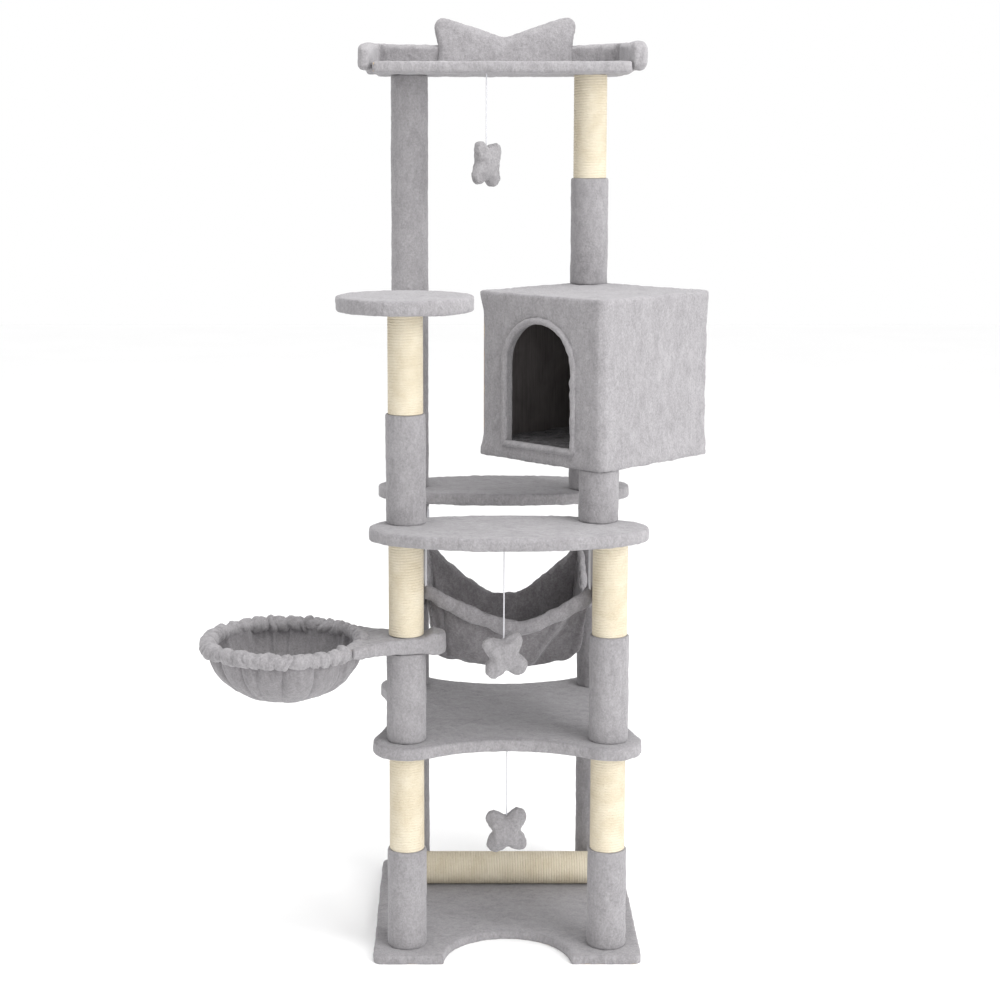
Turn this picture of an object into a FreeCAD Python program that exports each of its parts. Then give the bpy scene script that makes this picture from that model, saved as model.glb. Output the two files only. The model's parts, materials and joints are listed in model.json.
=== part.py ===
import FreeCAD, Part
import Sketcher
import os

Vector = FreeCAD.Vector
UP = Vector(0, 0, 1)

doc = FreeCAD.newDocument("cat_tree")

# ---------------------------------------------------------------- driving dimensions (mm)
# Origin: centre of the base on the floor. +X to the right, +Y to the rear, +Z up.
SIZES = {
    # materials
    "plush_skin": 3, "joint_gap": 0.3,
    # levels, from the floor up
    "base_thickness": 17, "lower_post_length": 374, "platform_thickness": 24,
    "middle_post_length": 386, "perch_post_length": 389, "perch_thickness": 28,
    "house_post_length": 97, "house_height": 314, "roof_post_length": 407, "top_thickness": 22,
    # posts
    "post_reach": 187.5, "upper_right_reach": 166.5,
    "tube_radius": 30, "tube_bore_radius": 26, "sisal_radius": 32.5, "sleeve_radius": 36.5,
    "lower_sleeve_length": 188, "middle_sleeve_length": 200, "perch_sleeve_length": 202,
    "roof_sleeve_length": 207, "plug_length": 20,
    # base, platform and steps
    "base_width": 500, "base_corner": 16, "notch_radius": 118,
    "lobe_radius": 62.5, "front_dip": 58, "side_dip": 30,
    "step_half_width": 254, "step_half_depth": 112, "front_step_y": 224, "rear_step_y": 208,
    "perch_radius": 125, "crossbar_y": 115, "crossbar_length": 396,
    # house
    "house_width": 316, "house_corner": 17, "wall_inset": 7, "house_plate": 12,
    "panel_thickness": 9,
    "lining_thickness": 2, "mat_thickness": 18, "mat_edge": 8,
    "door_half_width": 82.5, "door_sill": 33, "door_spring": 179.5, "piping_width": 11,
    "piping_lip": 4,
    # top platform
    "top_centre_x": -9, "top_width": 492, "top_depth": 300, "top_front_y": 37,
    "bolster_thickness": 26, "bolster_height": 73, "crest_centre_x": 3, "crest_half_width": 153,
    "crest_height": 123, "crest_dip": 31, "crest_thickness": 24, "crest_foot_inset": 14,
    "crest_side_height": 76, "crest_shoulder_height": 101, "crest_crown_inset": 28,
    "crest_slope_x": 64, "crest_slope_drop": 12,
    # basket
    "arm_drop": 201, "arm_thickness": 32, "basket_x": -412, "ring_radius": 159,
    "ring_width": 33, "bowl_depth": 106, "bowl_skin": 4, "neck_x": -275, "neck_half_width": 80,
    "waist_x": -216, "waist_half_width": 44, "post_pad_radius": 38, "knob_x": -135,
    "knob_radius": 22, "frame_thickness": 12, "frame_margin": 8,
    # hammock
    "hammock_bottom": 526, "hammock_rim": 706, "hammock_skin": 6, "hammock_half_width": 156,
    "hammock_half_depth": 164, "belly_half_width": 146, "belly_half_depth": 112,
    "hammock_sag": 74, "side_sag": 46, "loop_radius": 2.5, "loop_inset": 4,
    "hook_drop": 14, "hook_ring_radius": 6, "hook_wire_radius": 1.5, "hook_grip": 10,
    # fasteners
    "bolt_radius": 4, "hole_radius": 4.3, "stud_length": 60, "head_radius": 9,
    "head_height": 4, "counterbore_radius": 10, "bolt_grip": 16, "foot_recess": 1,
    "staple_width": 10, "staple_wire": 1, "staple_leg": 9, "leg_hole_radius": 0.9,
    # toys
    "cord_radius": 1.25, "lobe_size": 22, "lobe_spread_x": 22, "lobe_spread_z": 20,
    "toy_thickness": 40, "toy_core_radius": 28, "tab_length": 3, "tab_radius": 2.5,
    "top_toy_x": -38, "top_toy_y": 60, "top_cord": 140,
    "middle_toy_x": -9, "middle_toy_y": -250, "middle_cord": 178,
    "lower_toy_x": 0, "lower_toy_y": -150, "lower_cord": 135,
}

sheet = doc.addObject("Spreadsheet::Sheet", "sizes")
for row, (alias, value) in enumerate(SIZES.items(), start=1):
    sheet.set(f"A{row}", str(value))
    sheet.setAlias(f"A{row}", alias)
doc.recompute()


def named(text):
    """An expression in the sheet's own names, ready for setExpression."""
    words = []
    word = ""
    for letter in str(text) + " ":
        if letter.isalnum() or letter in "_.":
            word += letter
            continue
        words.append(f"sizes.{word}" if word in SIZES else word)
        words.append(letter)
        word = ""
    return "".join(words).strip()


def number(text):
    """The present value of such an expression, for shapes that are computed in code."""
    return float(sheet.evalExpression(named(text)))


# Levels, each the top of one piece and the foot of the next.
BASE_TOP = "base_thickness"
LOWER_Z = f"({BASE_TOP} + lower_post_length)"
LOWER_TOP = f"({LOWER_Z} + platform_thickness)"
STEP_Z = f"({LOWER_TOP} + middle_post_length)"
STEP_TOP = f"({STEP_Z} + platform_thickness)"
PERCH_Z = f"({STEP_TOP} + perch_post_length)"
PERCH_TOP = f"({PERCH_Z} + perch_thickness)"
HOUSE_Z = f"({STEP_TOP} + house_post_length)"
HOUSE_TOP = f"({HOUSE_Z} + house_height)"
TOP_Z = f"({HOUSE_TOP} + roof_post_length)"
TOP_TOP = f"({TOP_Z} + top_thickness)"
ARM_MID = f"({STEP_Z} - arm_drop)"
ARM_LOW = f"({ARM_MID} - arm_thickness / 2)"
ARM_HIGH = f"({ARM_MID} + arm_thickness / 2)"
CROSSBAR_Z = f"({BASE_TOP} + sisal_radius)"

LEFT, RIGHT = "-post_reach", "post_reach"
FRONT, REAR = "-post_reach", "post_reach"
UPPER_RIGHT = "upper_right_reach"
UPPER_FRONT, UPPER_REAR = "-upper_right_reach", "upper_right_reach"
LOWER_POSTS = [(LEFT, FRONT), (RIGHT, FRONT), (LEFT, REAR), (RIGHT, REAR)]
CROSSBAR_ENDS = ["plug_length / 2 - crossbar_length / 2", "crossbar_length / 2 - plug_length / 2"]

subparts = {}


# ---------------------------------------------------------------- helpers
def finish(label, obj):
    """Give a sub-part the label that names its file."""
    obj.Label = label
    subparts[label] = obj
    return obj


def bind(obj, **expressions):
    """Bind properties to the sheet; x, y and z mean the placement."""
    for prop, text in expressions.items():
        path = f"Placement.Base.{prop}" if prop in ("x", "y", "z") else prop
        obj.setExpression(path, named(text))
    return obj


def cylinder(name, radius, height, x="0", y="0", z="0", lying=False):
    """A round bar on its foot's centre; a lying one runs along +X."""
    obj = doc.addObject("Part::Cylinder", name)
    if lying:
        obj.Placement = FreeCAD.Placement(Vector(), FreeCAD.Rotation(Vector(0, 1, 0), 90))
    return bind(obj, Radius=radius, Height=height, x=x, y=y, z=z)


def cut(name, base, tool):
    obj = doc.addObject("Part::Cut", name)
    obj.Base = base
    obj.Tool = tool
    return obj


def compound(name, pieces):
    obj = doc.addObject("Part::Compound", name)
    obj.Links = pieces
    return obj


def tube(name, outer, bore, height, x, y, z, lying=False):
    return cut(name, cylinder(f"{name}_outside", outer, height, x, y, z, lying),
               cylinder(f"{name}_bore", bore, height, x, y, z, lying))


def sketch_in(body, name):
    """A sketch on the body's own XY plane."""
    sketch = body.newObject("Sketcher::SketchObject", name)
    plane = next(item for item in body.Origin.OriginFeatures if item.Role == "XY_Plane")
    sketch.AttachmentSupport = [(plane, "")]
    sketch.MapMode = "FlatFace"
    return sketch


def sketch_circle(sketch, radius, x="0", y="0"):
    """A circle whose radius and centre follow the sheet."""
    place = Vector(number(x), number(y), 0)
    index = sketch.addGeometry(Part.Circle(place, UP, number(radius)), False)
    pairs = [("Radius", radius, None), ("DistanceX", x, place.x), ("DistanceY", y, place.y)]
    for kind, text, value in pairs:
        if kind == "Radius":
            at = sketch.addConstraint(Sketcher.Constraint(kind, index, number(text)))
        else:
            at = sketch.addConstraint(Sketcher.Constraint(kind, -1, 1, index, 3, value))
        sketch.setExpression(f"Constraints[{at}]", named(text))
    return index


def sketch_rectangle(sketch, width, depth):
    """A centred rectangle whose sides follow the sheet."""
    half_x, half_y = number(width) / 2, number(depth) / 2
    corners = [Vector(-half_x, -half_y, 0), Vector(half_x, -half_y, 0),
               Vector(half_x, half_y, 0), Vector(-half_x, half_y, 0)]
    for start, end in zip(corners, corners[1:] + corners[:1]):
        sketch.addGeometry(Part.LineSegment(start, end), False)
    for line in range(4):
        following = (line + 1) % 4
        sketch.addConstraint(Sketcher.Constraint("Coincident", line, 2, following, 1))
        kind = "Horizontal" if line % 2 == 0 else "Vertical"
        sketch.addConstraint(Sketcher.Constraint(kind, line))
    sketch.addConstraint(Sketcher.Constraint("Symmetric", 0, 1, 1, 2, -1, 1))
    for line, kind, text in [(0, "DistanceX", width), (1, "DistanceY", depth)]:
        at = sketch.addConstraint(Sketcher.Constraint(kind, line, 1, line, 2, number(text)))
        sketch.setExpression(f"Constraints[{at}]", named(text))


def sketch_ellipse(sketch, half_width, half_depth):
    """A centred ellipse, wider along X; its two ends follow the sheet."""
    wide, deep = number(half_width), number(half_depth)
    ellipse = Part.Ellipse(Vector(wide, 0, 0), Vector(0, deep, 0), Vector())
    index = sketch.addGeometry(ellipse, False)
    sketch.exposeInternalGeometry(index)
    sketch.addConstraint(Sketcher.Constraint("Coincident", index, 3, -1, 1))
    for line, kind, text in [(1, "DistanceX", half_width), (2, "DistanceY", half_depth)]:
        end = 1 if (sketch.getPoint(line, 1).x + sketch.getPoint(line, 1).y) > 0 else 2
        at = sketch.addConstraint(Sketcher.Constraint(kind, -1, 1, line, end, number(text)))
        sketch.setExpression(f"Constraints[{at}]", named(text))


def pad(body, sketch, length):
    feature = body.newObject("PartDesign::Pad", f"{body.Name}_pad")
    feature.Profile = sketch
    feature.setExpression("Length", named(length))
    body.Tip = feature
    return feature


def pocket(body, name, circles, depth, offset=0):
    """Round holes cut upwards from the body's own XY plane."""
    volume = body.Shape.Volume
    sketch = sketch_in(body, f"{name}_sketch")
    if offset:
        sketch.setExpression("AttachmentOffset.Base.z", named(offset))
    for x, y, radius in circles:
        sketch_circle(sketch, radius, x, y)
    feature = body.newObject("PartDesign::Pocket", name)
    feature.Profile = sketch
    feature.Reversed = True
    feature.setExpression("Length", named(depth))
    body.Tip = feature
    doc.recompute()
    if body.Shape.Volume > volume - 1:
        raise RuntimeError(f"{name} cuts nothing")
    return feature


def ring_body(label, outer, bore, length, x, y, z):
    """A sleeve or wrap: two circles padded to its length."""
    body = doc.addObject("PartDesign::Body", label)
    sketch = sketch_in(body, f"{label}_sketch")
    sketch_circle(sketch, outer)
    sketch_circle(sketch, bore)
    pad(body, sketch, length)
    bind(body, x=x, y=y, z=z)
    return finish(label, body)


def plate_body(label, draw, thickness, x, y, z):
    """A flat board; draw adds its outline to the sketch."""
    body = doc.addObject("PartDesign::Body", label)
    draw(sketch_in(body, f"{label}_sketch"))
    pad(body, body.Group[0], thickness)
    bind(body, x=x, y=y, z=z)
    doc.recompute()
    return body


def feature(name, shape):
    """A shape worked out in code from the sheet's values."""
    obj = doc.addObject("Part::Feature", name)
    obj.Shape = shape
    return obj


def prism(wire, bottom, height):
    face = Part.Face(wire)
    face.translate(Vector(0, 0, bottom))
    return face.extrude(Vector(0, 0, height))


# ---------------------------------------------------------------- post tubes, plugs, fasteners
def tube_group(label, posts):
    """posts: (x, y, foot, length) of each cardboard tube."""
    tubes = [tube(f"{label}_{count}", "tube_radius - joint_gap", "tube_bore_radius", length,
                  x, y, foot) for count, (x, y, foot, length) in enumerate(posts, start=1)]
    return finish(label, compound(label, tubes))


lower_posts = [(x, y, BASE_TOP, "lower_post_length") for x, y in LOWER_POSTS]
middle_posts = [(x, y, LOWER_TOP, "middle_post_length") for x, y in LOWER_POSTS[1:]]
basket_posts = [(LEFT, FRONT, LOWER_TOP, f"{ARM_LOW} - {LOWER_TOP}"),
                (LEFT, FRONT, ARM_HIGH, f"{STEP_Z} - {ARM_HIGH}")]
house_posts = [(UPPER_RIGHT, UPPER_FRONT, STEP_TOP, "house_post_length"),
               (UPPER_RIGHT, UPPER_REAR, STEP_TOP, "house_post_length")]
upper_posts = [(LEFT, FRONT, STEP_TOP, "perch_post_length"),
               (LEFT, REAR, STEP_TOP, f"{TOP_Z} - {STEP_TOP}"),
               (UPPER_RIGHT, UPPER_REAR, HOUSE_TOP, "roof_post_length")]

tube_group("lower_post_tubes", lower_posts)
tube_group("middle_post_tubes", middle_posts)
tube_group("basket_post_tubes", basket_posts)
tube_group("house_post_tubes", house_posts)
tube_group("upper_post_tubes", upper_posts)


def crossbar_ring(label, outer, bore, length="crossbar_length", start="-crossbar_length / 2"):
    """A tube along the bar with holes from below for the two bolts that hold it."""
    ring = tube(f"{label}_ring", outer, bore, length, start, "crossbar_y", CROSSBAR_Z,
                lying=True)
    holes = [cylinder(f"{label}_hole_{count}", "hole_radius", "sisal_radius", x, "crossbar_y",
                      BASE_TOP) for count, x in enumerate(CROSSBAR_ENDS)]
    return cut(label, ring, compound(f"{label}_holes", holes))


finish("crossbar_tube", crossbar_ring("crossbar_tube", "tube_radius - joint_gap",
                                      "tube_bore_radius"))

PLUG = ("tube_bore_radius - joint_gap", "bolt_radius + joint_gap / 2")
plugs = []
for x, y, foot, length in lower_posts + middle_posts + basket_posts + house_posts + upper_posts:
    for z in (foot, f"{foot} + {length} - plug_length"):
        plugs.append(tube(f"plug_{len(plugs)}", *PLUG, "plug_length", x, y, z))
for start in ("-crossbar_length / 2", "crossbar_length / 2 - plug_length"):
    plugs.append(crossbar_ring(f"plug_{len(plugs)}", *PLUG, "plug_length", start))
finish("post_end_plugs", compound("post_end_plugs", plugs))

# Studs run through a platform from the post below into the post above.
stud_places = [(x, y, f"({LOWER_Z} + {LOWER_TOP}) / 2") for x, y in LOWER_POSTS]
stud_places += [(LEFT, FRONT, f"({STEP_Z} + {STEP_TOP}) / 2"),
                (LEFT, REAR, f"({STEP_Z} + {STEP_TOP}) / 2"),
                (LEFT, FRONT, ARM_MID)]
studs = [cylinder(f"stud_{count}", "bolt_radius", "stud_length", x, y,
                  f"{z} - stud_length / 2") for count, (x, y, z) in enumerate(stud_places)]
finish("joining_studs", compound("joining_studs", studs))


def bolt(name, x, y, head_foot, length, downwards):
    """A round-headed bolt; its head is sunk in a board and its shank runs into a plug."""
    head = cylinder(f"{name}_head", "head_radius", "head_height", x, y, head_foot)
    shank_foot = f"{head_foot} - ({length})" if downwards else f"{head_foot} + head_height"
    shank = cylinder(f"{name}_shank", "bolt_radius", length, x, y, shank_foot)
    fused = doc.addObject("Part::Fuse", name)
    fused.Base = head
    fused.Tool = shank
    return fused


# Four bolts stand under the lower posts and two hold the bar's ends.
base_bolt_places = LOWER_POSTS + [(x, "crossbar_y") for x in CROSSBAR_ENDS]
base_reach = f"{BASE_TOP} - foot_recess - head_height + bolt_grip"
base_bolts = [bolt(f"base_bolt_{count}", x, y, "foot_recess", base_reach, False)
              for count, (x, y) in enumerate(base_bolt_places)]
finish("base_bolts", compound("base_bolts", base_bolts))

# Bolts whose heads lie in the boards, hidden by the plush: (x, y, board bottom, board top, down).
SKIN = "plush_skin"
step_board = (f"{STEP_Z} + {SKIN}", f"{STEP_TOP} - {SKIN}")
sunk = [
    (RIGHT, FRONT, *step_board, True),
    (RIGHT, REAR, *step_board, True),
    (UPPER_RIGHT, UPPER_FRONT, *step_board, False),
    (UPPER_RIGHT, UPPER_REAR, *step_board, False),
    (LEFT, FRONT, f"{PERCH_Z} + {SKIN}", f"{PERCH_TOP} - {SKIN}", True),
    (UPPER_RIGHT, UPPER_FRONT, f"{HOUSE_Z} + {SKIN}", f"{HOUSE_Z} + {SKIN} + house_plate", True),
    (UPPER_RIGHT, UPPER_REAR, f"{HOUSE_Z} + {SKIN}", f"{HOUSE_Z} + {SKIN} + house_plate", True),
    (UPPER_RIGHT, UPPER_REAR, f"{HOUSE_TOP} - {SKIN} - house_plate", f"{HOUSE_TOP} - {SKIN}",
     False),
    (LEFT, REAR, f"{TOP_Z} + {SKIN}", f"{TOP_TOP} - {SKIN}", True),
    (UPPER_RIGHT, UPPER_REAR, f"{TOP_Z} + {SKIN}", f"{TOP_TOP} - {SKIN}", True),
]
platform_bolts = []
for count, (x, y, bottom, top, downwards) in enumerate(sunk):
    reach = f"({top}) - ({bottom}) - head_height + plush_skin + bolt_grip"
    head_foot = f"{top} - head_height" if downwards else bottom
    platform_bolts.append(bolt(f"platform_bolt_{count}", x, y, head_foot, reach, downwards))
finish("platform_bolts", compound("platform_bolts", platform_bolts))


# ---------------------------------------------------------------- sleeves and sisal wraps
SLEEVE = ("sleeve_radius", "tube_radius")
SISAL = ("sisal_radius", "tube_radius")


def ring_pair(label, radii, length, posts, foot):
    """The same sleeve or wrap on two posts."""
    rings = [tube(f"{label}_{count}", *radii, length, x, y, foot)
             for count, (x, y) in enumerate(posts)]
    return finish(label, compound(label, rings))


ring_pair("lower_front_sleeves", SLEEVE, "lower_sleeve_length", LOWER_POSTS[:2], BASE_TOP)
ring_pair("lower_rear_sleeves", SLEEVE, "lower_post_length", LOWER_POSTS[2:], BASE_TOP)
ring_pair("lower_sisal_wraps", SISAL, "lower_post_length - lower_sleeve_length",
          LOWER_POSTS[:2], f"{BASE_TOP} + lower_sleeve_length")
ring_pair("middle_rear_sleeves", SLEEVE, "middle_post_length", LOWER_POSTS[2:], LOWER_TOP)
ring_pair("house_post_sleeves", SLEEVE, "house_post_length",
          [(UPPER_RIGHT, UPPER_FRONT), (UPPER_RIGHT, UPPER_REAR)], STEP_TOP)
ring_body("basket_post_sleeve", *SLEEVE, f"{ARM_LOW} - {LOWER_TOP}", LEFT, FRONT, LOWER_TOP)
ring_body("basket_post_sisal", *SISAL, f"{STEP_Z} - {ARM_HIGH}", LEFT, FRONT, ARM_HIGH)
ring_body("middle_right_sleeve", *SLEEVE, "middle_sleeve_length", RIGHT, FRONT, LOWER_TOP)
ring_body("middle_right_sisal", *SISAL, "middle_post_length - middle_sleeve_length",
          RIGHT, FRONT, f"{LOWER_TOP} + middle_sleeve_length")
ring_body("perch_post_sleeve", *SLEEVE, "perch_sleeve_length", LEFT, FRONT, STEP_TOP)
ring_body("perch_post_sisal", *SISAL, "perch_post_length - perch_sleeve_length",
          LEFT, FRONT, f"{STEP_TOP} + perch_sleeve_length")
ring_body("tall_post_sleeve", *SLEEVE, f"{TOP_Z} - {STEP_TOP}", LEFT, REAR, STEP_TOP)
ring_body("roof_post_sleeve", *SLEEVE, "roof_sleeve_length", UPPER_RIGHT, UPPER_REAR, HOUSE_TOP)
ring_body("roof_post_sisal", *SISAL, "roof_post_length - roof_sleeve_length",
          UPPER_RIGHT, UPPER_REAR, f"{HOUSE_TOP} + roof_sleeve_length")
finish("crossbar_sisal", crossbar_ring("crossbar_sisal", *SISAL))


# ---------------------------------------------------------------- boards and their plush covers
def drill(name, places, foot, height):
    """Clearance holes for bolts that pass through a cover."""
    return compound(name, [cylinder(f"{name}_{count}", "hole_radius", height, x, y, foot)
                           for count, (x, y) in enumerate(places)])


def cover(label, outside, board, places, foot, height):
    """Plush all round a board: the outer form less the board less the bolt holes."""
    skin = cut(f"{label}_skin", outside, board)
    return finish(label, cut(label, skin, drill(f"{label}_drill", places, foot, height)))


# Places under the boards for the hammock's four hooks and the toys' three staples.
HOOK_X, HOOK_Y = "hammock_half_width - loop_inset", "hammock_half_depth - loop_inset"
FRONT_HOOKS = [(f"-({HOOK_X})", f"-({HOOK_Y})"), (HOOK_X, f"-({HOOK_Y})")]
REAR_HOOKS = [(f"-({HOOK_X})", HOOK_Y), (HOOK_X, HOOK_Y)]
TOYS = {"top": TOP_Z, "middle": STEP_Z, "lower": LOWER_Z}


def staple_legs(place):
    """The two leg places of a staple, either side of its middle along X."""
    x, y = place
    return [(f"{x} {sign} (staple_width - staple_wire) / 2", y) for sign in "-+"]


def staple_slot(place, level):
    """Room in a cover's lower skin for the crown of a staple."""
    gap = number("joint_gap")
    long, wide = number("staple_width") + 2 * gap, number("staple_wire") + 2 * gap
    corner = Vector(number(place[0]) - long / 2, number(place[1]) - wide / 2, number(level))
    return Part.makeBox(long, wide, number(SKIN), corner)


# Base: square with rounded corners and a half-round notch in its front edge.
def base_plate(name, margin, thickness):
    width = f"base_width - 2 * {margin}"
    body = plate_body(name, lambda sketch: sketch_rectangle(sketch, width, width),
                      thickness, "0", "0", "0")
    square = body.Tip
    upright = [f"Edge{count}" for count, edge in enumerate(square.Shape.Edges, start=1)
               if abs(edge.tangentAt(edge.FirstParameter).z) > 0.9]
    rounded = body.newObject("PartDesign::Fillet", f"{name}_corners")
    rounded.Base = (square, upright)
    rounded.setExpression("Radius", named(f"base_corner - {margin}"))
    body.Tip = rounded
    doc.recompute()
    pocket(body, f"{name}_notch", [("0", "-base_width / 2", f"notch_radius + {margin}")],
           thickness)
    return body


BASE_BOARD = f"{BASE_TOP} - {SKIN}"
base_board = base_plate("base_board", SKIN, BASE_BOARD)
pocket(base_board, "base_board_holes", [(x, y, "hole_radius") for x, y in base_bolt_places],
       BASE_BOARD)
pocket(base_board, "base_board_seats",
       [(x, y, "counterbore_radius") for x, y in base_bolt_places],
       "head_height + foot_recess")
finish("base_board", base_board)
base_fill = base_plate("base_fill", SKIN, BASE_BOARD)
cover("base_cover", base_plate("base_outside", "0", BASE_TOP), base_fill, base_bolt_places,
      "0", BASE_TOP)


# Lower platform: a round lobe at each post, joined by shallow hollows tangent to the lobes.
def hollow_radius(dip):
    """Radius of the hollow that meets two lobes and lies dip inside their outer line."""
    half, lobe = number("post_reach"), number("lobe_radius")
    edge = lobe - dip
    return (half * half + edge * edge - lobe * lobe) / (2 * (lobe - edge))


def lobed_outline(margin):
    reach, lobe = number("post_reach"), number("lobe_radius")
    wires = []
    for quarter in range(4):
        dip = number("front_dip" if quarter % 2 == 0 else "side_dip")
        next_dip = number("side_dip" if quarter % 2 == 0 else "front_dip")
        turn = FreeCAD.Rotation(UP, 90 * quarter)
        radius = hollow_radius(dip)
        hollow_centre = Vector(0, -(reach + lobe - dip + radius), 0)
        right_lobe = Vector(reach, -reach, 0)
        left_lobe = Vector(-reach, -reach, 0)
        towards = (right_lobe - hollow_centre).normalize()
        towards_left = (left_lobe - hollow_centre).normalize()
        start = hollow_centre + towards_left * (radius + margin)
        end = hollow_centre + towards * (radius + margin)
        middle = hollow_centre + Vector(0, radius + margin, 0)
        wires.append(Part.Arc(turn.multVec(start), turn.multVec(middle),
                              turn.multVec(end)).toShape())
        next_radius = hollow_radius(next_dip)
        next_centre = Vector(reach + lobe - next_dip + next_radius, 0, 0)
        lobe_end = next_centre + (right_lobe - next_centre).normalize() * (next_radius + margin)
        outward = (end - right_lobe).normalize() + (lobe_end - right_lobe).normalize()
        crown = right_lobe + outward.normalize() * (lobe - margin)
        wires.append(Part.Arc(turn.multVec(end), turn.multVec(crown),
                              turn.multVec(lobe_end)).toShape())
    return Part.Wire(Part.__sortEdges__(wires))


def bars(places, radius, bottom, height):
    """Round tools for holes in a shape that is computed in code."""
    return [Part.makeCylinder(radius, height, Vector(number(x), number(y), bottom))
            for x, y in places]


lower_z, platform, skin = number(LOWER_Z), number("platform_thickness"), number(SKIN)
lower_inside = prism(lobed_outline(skin), lower_z + skin, platform - 2 * skin)
lower_drills = bars(LOWER_POSTS, number("hole_radius"), lower_z, platform)
lower_outside = prism(lobed_outline(0), lower_z, platform)
lower_staple = ("lower_toy_x", "lower_toy_y")
leg_drills = bars(staple_legs(lower_staple), number("leg_hole_radius"), lower_z,
                  skin + number("staple_leg"))
finish("lower_platform_board", feature("lower_platform_board",
                                       lower_inside.cut(lower_drills + leg_drills)))
lower_skin = lower_outside.cut(lower_inside)
finish("lower_platform_cover", feature("lower_platform_cover", lower_skin.cut(
    lower_drills + [staple_slot(lower_staple, LOWER_Z)])))


# Steps and perch: ellipses and a disc.
def step_draw(margin):
    return lambda sketch: sketch_ellipse(sketch, f"step_half_width - {margin}",
                                         f"step_half_depth - {margin}")


def covered_plate(name, draw, thickness, centre, level, through, above=(), below=(), hooks=(),
                  staples=()):
    """A board and the plush round it; centre is the plate's x and y, and through its bolts."""
    inner = f"{thickness} - 2 * {SKIN}"
    x, y = centre
    fill = plate_body(f"{name}_fill", draw(SKIN), inner, x, y, f"{level} + {SKIN}")
    board = plate_body(f"{name}_board", draw(SKIN), inner, x, y, f"{level} + {SKIN}")
    legs = [leg for place in staples for leg in staple_legs(place)]
    for kind, places, radius, depth, offset in (
            ("bolt_holes", through, "hole_radius", inner, 0),
            ("high_seats", above, "counterbore_radius", "head_height", f"{inner} - head_height"),
            ("low_seats", below, "counterbore_radius", "head_height", 0),
            ("hook_holes", hooks, "hook_wire_radius + joint_gap", "hook_grip + joint_gap", 0),
            ("leg_holes", legs, "leg_hole_radius", "staple_leg", 0)):
        circles = [(f"({hole_x}) - ({x})", f"({hole_y}) - ({y})", radius)
                   for hole_x, hole_y in places]
        if circles:
            pocket(board, f"{name}_{kind}", circles, depth, offset)
    finish(f"{name}_board", board)
    outside = plate_body(f"{name}_outside", draw("0"), thickness, x, y, level)
    skin = cut(f"{name}_skin", outside, fill)
    passing = [place for place in through if place not in above and place not in below]
    tools = [cylinder(f"{name}_pass_{count}", "hole_radius", thickness, hole_x, hole_y, level)
             for count, (hole_x, hole_y) in enumerate(passing)]
    tools += [cylinder(f"{name}_down_{count}", "hole_radius", SKIN, hole_x, hole_y, level)
              for count, (hole_x, hole_y) in enumerate(above)]
    tools += [cylinder(f"{name}_up_{count}", "hole_radius", SKIN, hole_x, hole_y,
                       f"{level} + {thickness} - {SKIN}")
              for count, (hole_x, hole_y) in enumerate(below)]
    tools += [cylinder(f"{name}_hook_{count}", "hook_wire_radius + joint_gap", SKIN, hole_x,
                       hole_y, level) for count, (hole_x, hole_y) in enumerate(hooks)]
    tools += [feature(f"{name}_staple_{count}", staple_slot(place, level))
              for count, place in enumerate(staples)]
    finish(f"{name}_cover", cut(f"{name}_cover", skin, compound(f"{name}_tools", tools)))


covered_plate("front_step", step_draw, "platform_thickness", ("0", "-front_step_y"), STEP_Z,
              [(LEFT, FRONT), (RIGHT, FRONT), (UPPER_RIGHT, UPPER_FRONT)],
              above=[(RIGHT, FRONT)], below=[(UPPER_RIGHT, UPPER_FRONT)], hooks=FRONT_HOOKS,
              staples=[("middle_toy_x", "middle_toy_y")])
covered_plate("rear_step", step_draw, "platform_thickness", ("0", "rear_step_y"), STEP_Z,
              [(LEFT, REAR), (RIGHT, REAR), (UPPER_RIGHT, UPPER_REAR)],
              above=[(RIGHT, REAR)], below=[(UPPER_RIGHT, UPPER_REAR)], hooks=REAR_HOOKS)
covered_plate("perch", lambda margin: lambda sketch: sketch_circle(
    sketch, f"perch_radius - {margin}"), "perch_thickness", (LEFT, FRONT), PERCH_Z,
    [(LEFT, FRONT)], above=[(LEFT, FRONT)])
covered_plate("top_platform", lambda margin: lambda sketch: sketch_rectangle(
    sketch, f"top_width - 2 * {margin}", f"top_depth - 2 * {margin}"), "top_thickness",
    ("top_centre_x", "top_front_y + top_depth / 2"), TOP_Z,
    [(LEFT, REAR), (UPPER_RIGHT, UPPER_REAR)],
    above=[(LEFT, REAR), (UPPER_RIGHT, UPPER_REAR)], staples=[("top_toy_x", "top_toy_y")])


# ---------------------------------------------------------------- house
# Built square to the axes with its door on -Y, then turned 45 degrees on its posts.
house_placement = FreeCAD.Placement(Vector(number(UPPER_RIGHT), 0, number(HOUSE_Z)),
                                    FreeCAD.Rotation(UP, -45))
width, height = number("house_width"), number("house_height")
plate, panel = number("house_plate"), number("panel_thickness")
wall_half = width / 2 - number("wall_inset") - skin
plate_half = width / 2 - skin
inner_half = wall_half - panel
wall_foot, wall_top = skin + plate, height - skin - plate


def block(half, bottom, top, corner=0):
    """A square box about the house's own axis; corner rounds its upright edges."""
    box = Part.makeBox(2 * half, 2 * half, top - bottom, Vector(-half, -half, bottom))
    if not corner:
        return box
    return box.makeFillet(corner, [edge for edge in box.Edges
                                   if abs(edge.tangentAt(edge.FirstParameter).z) > 0.9])


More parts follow.
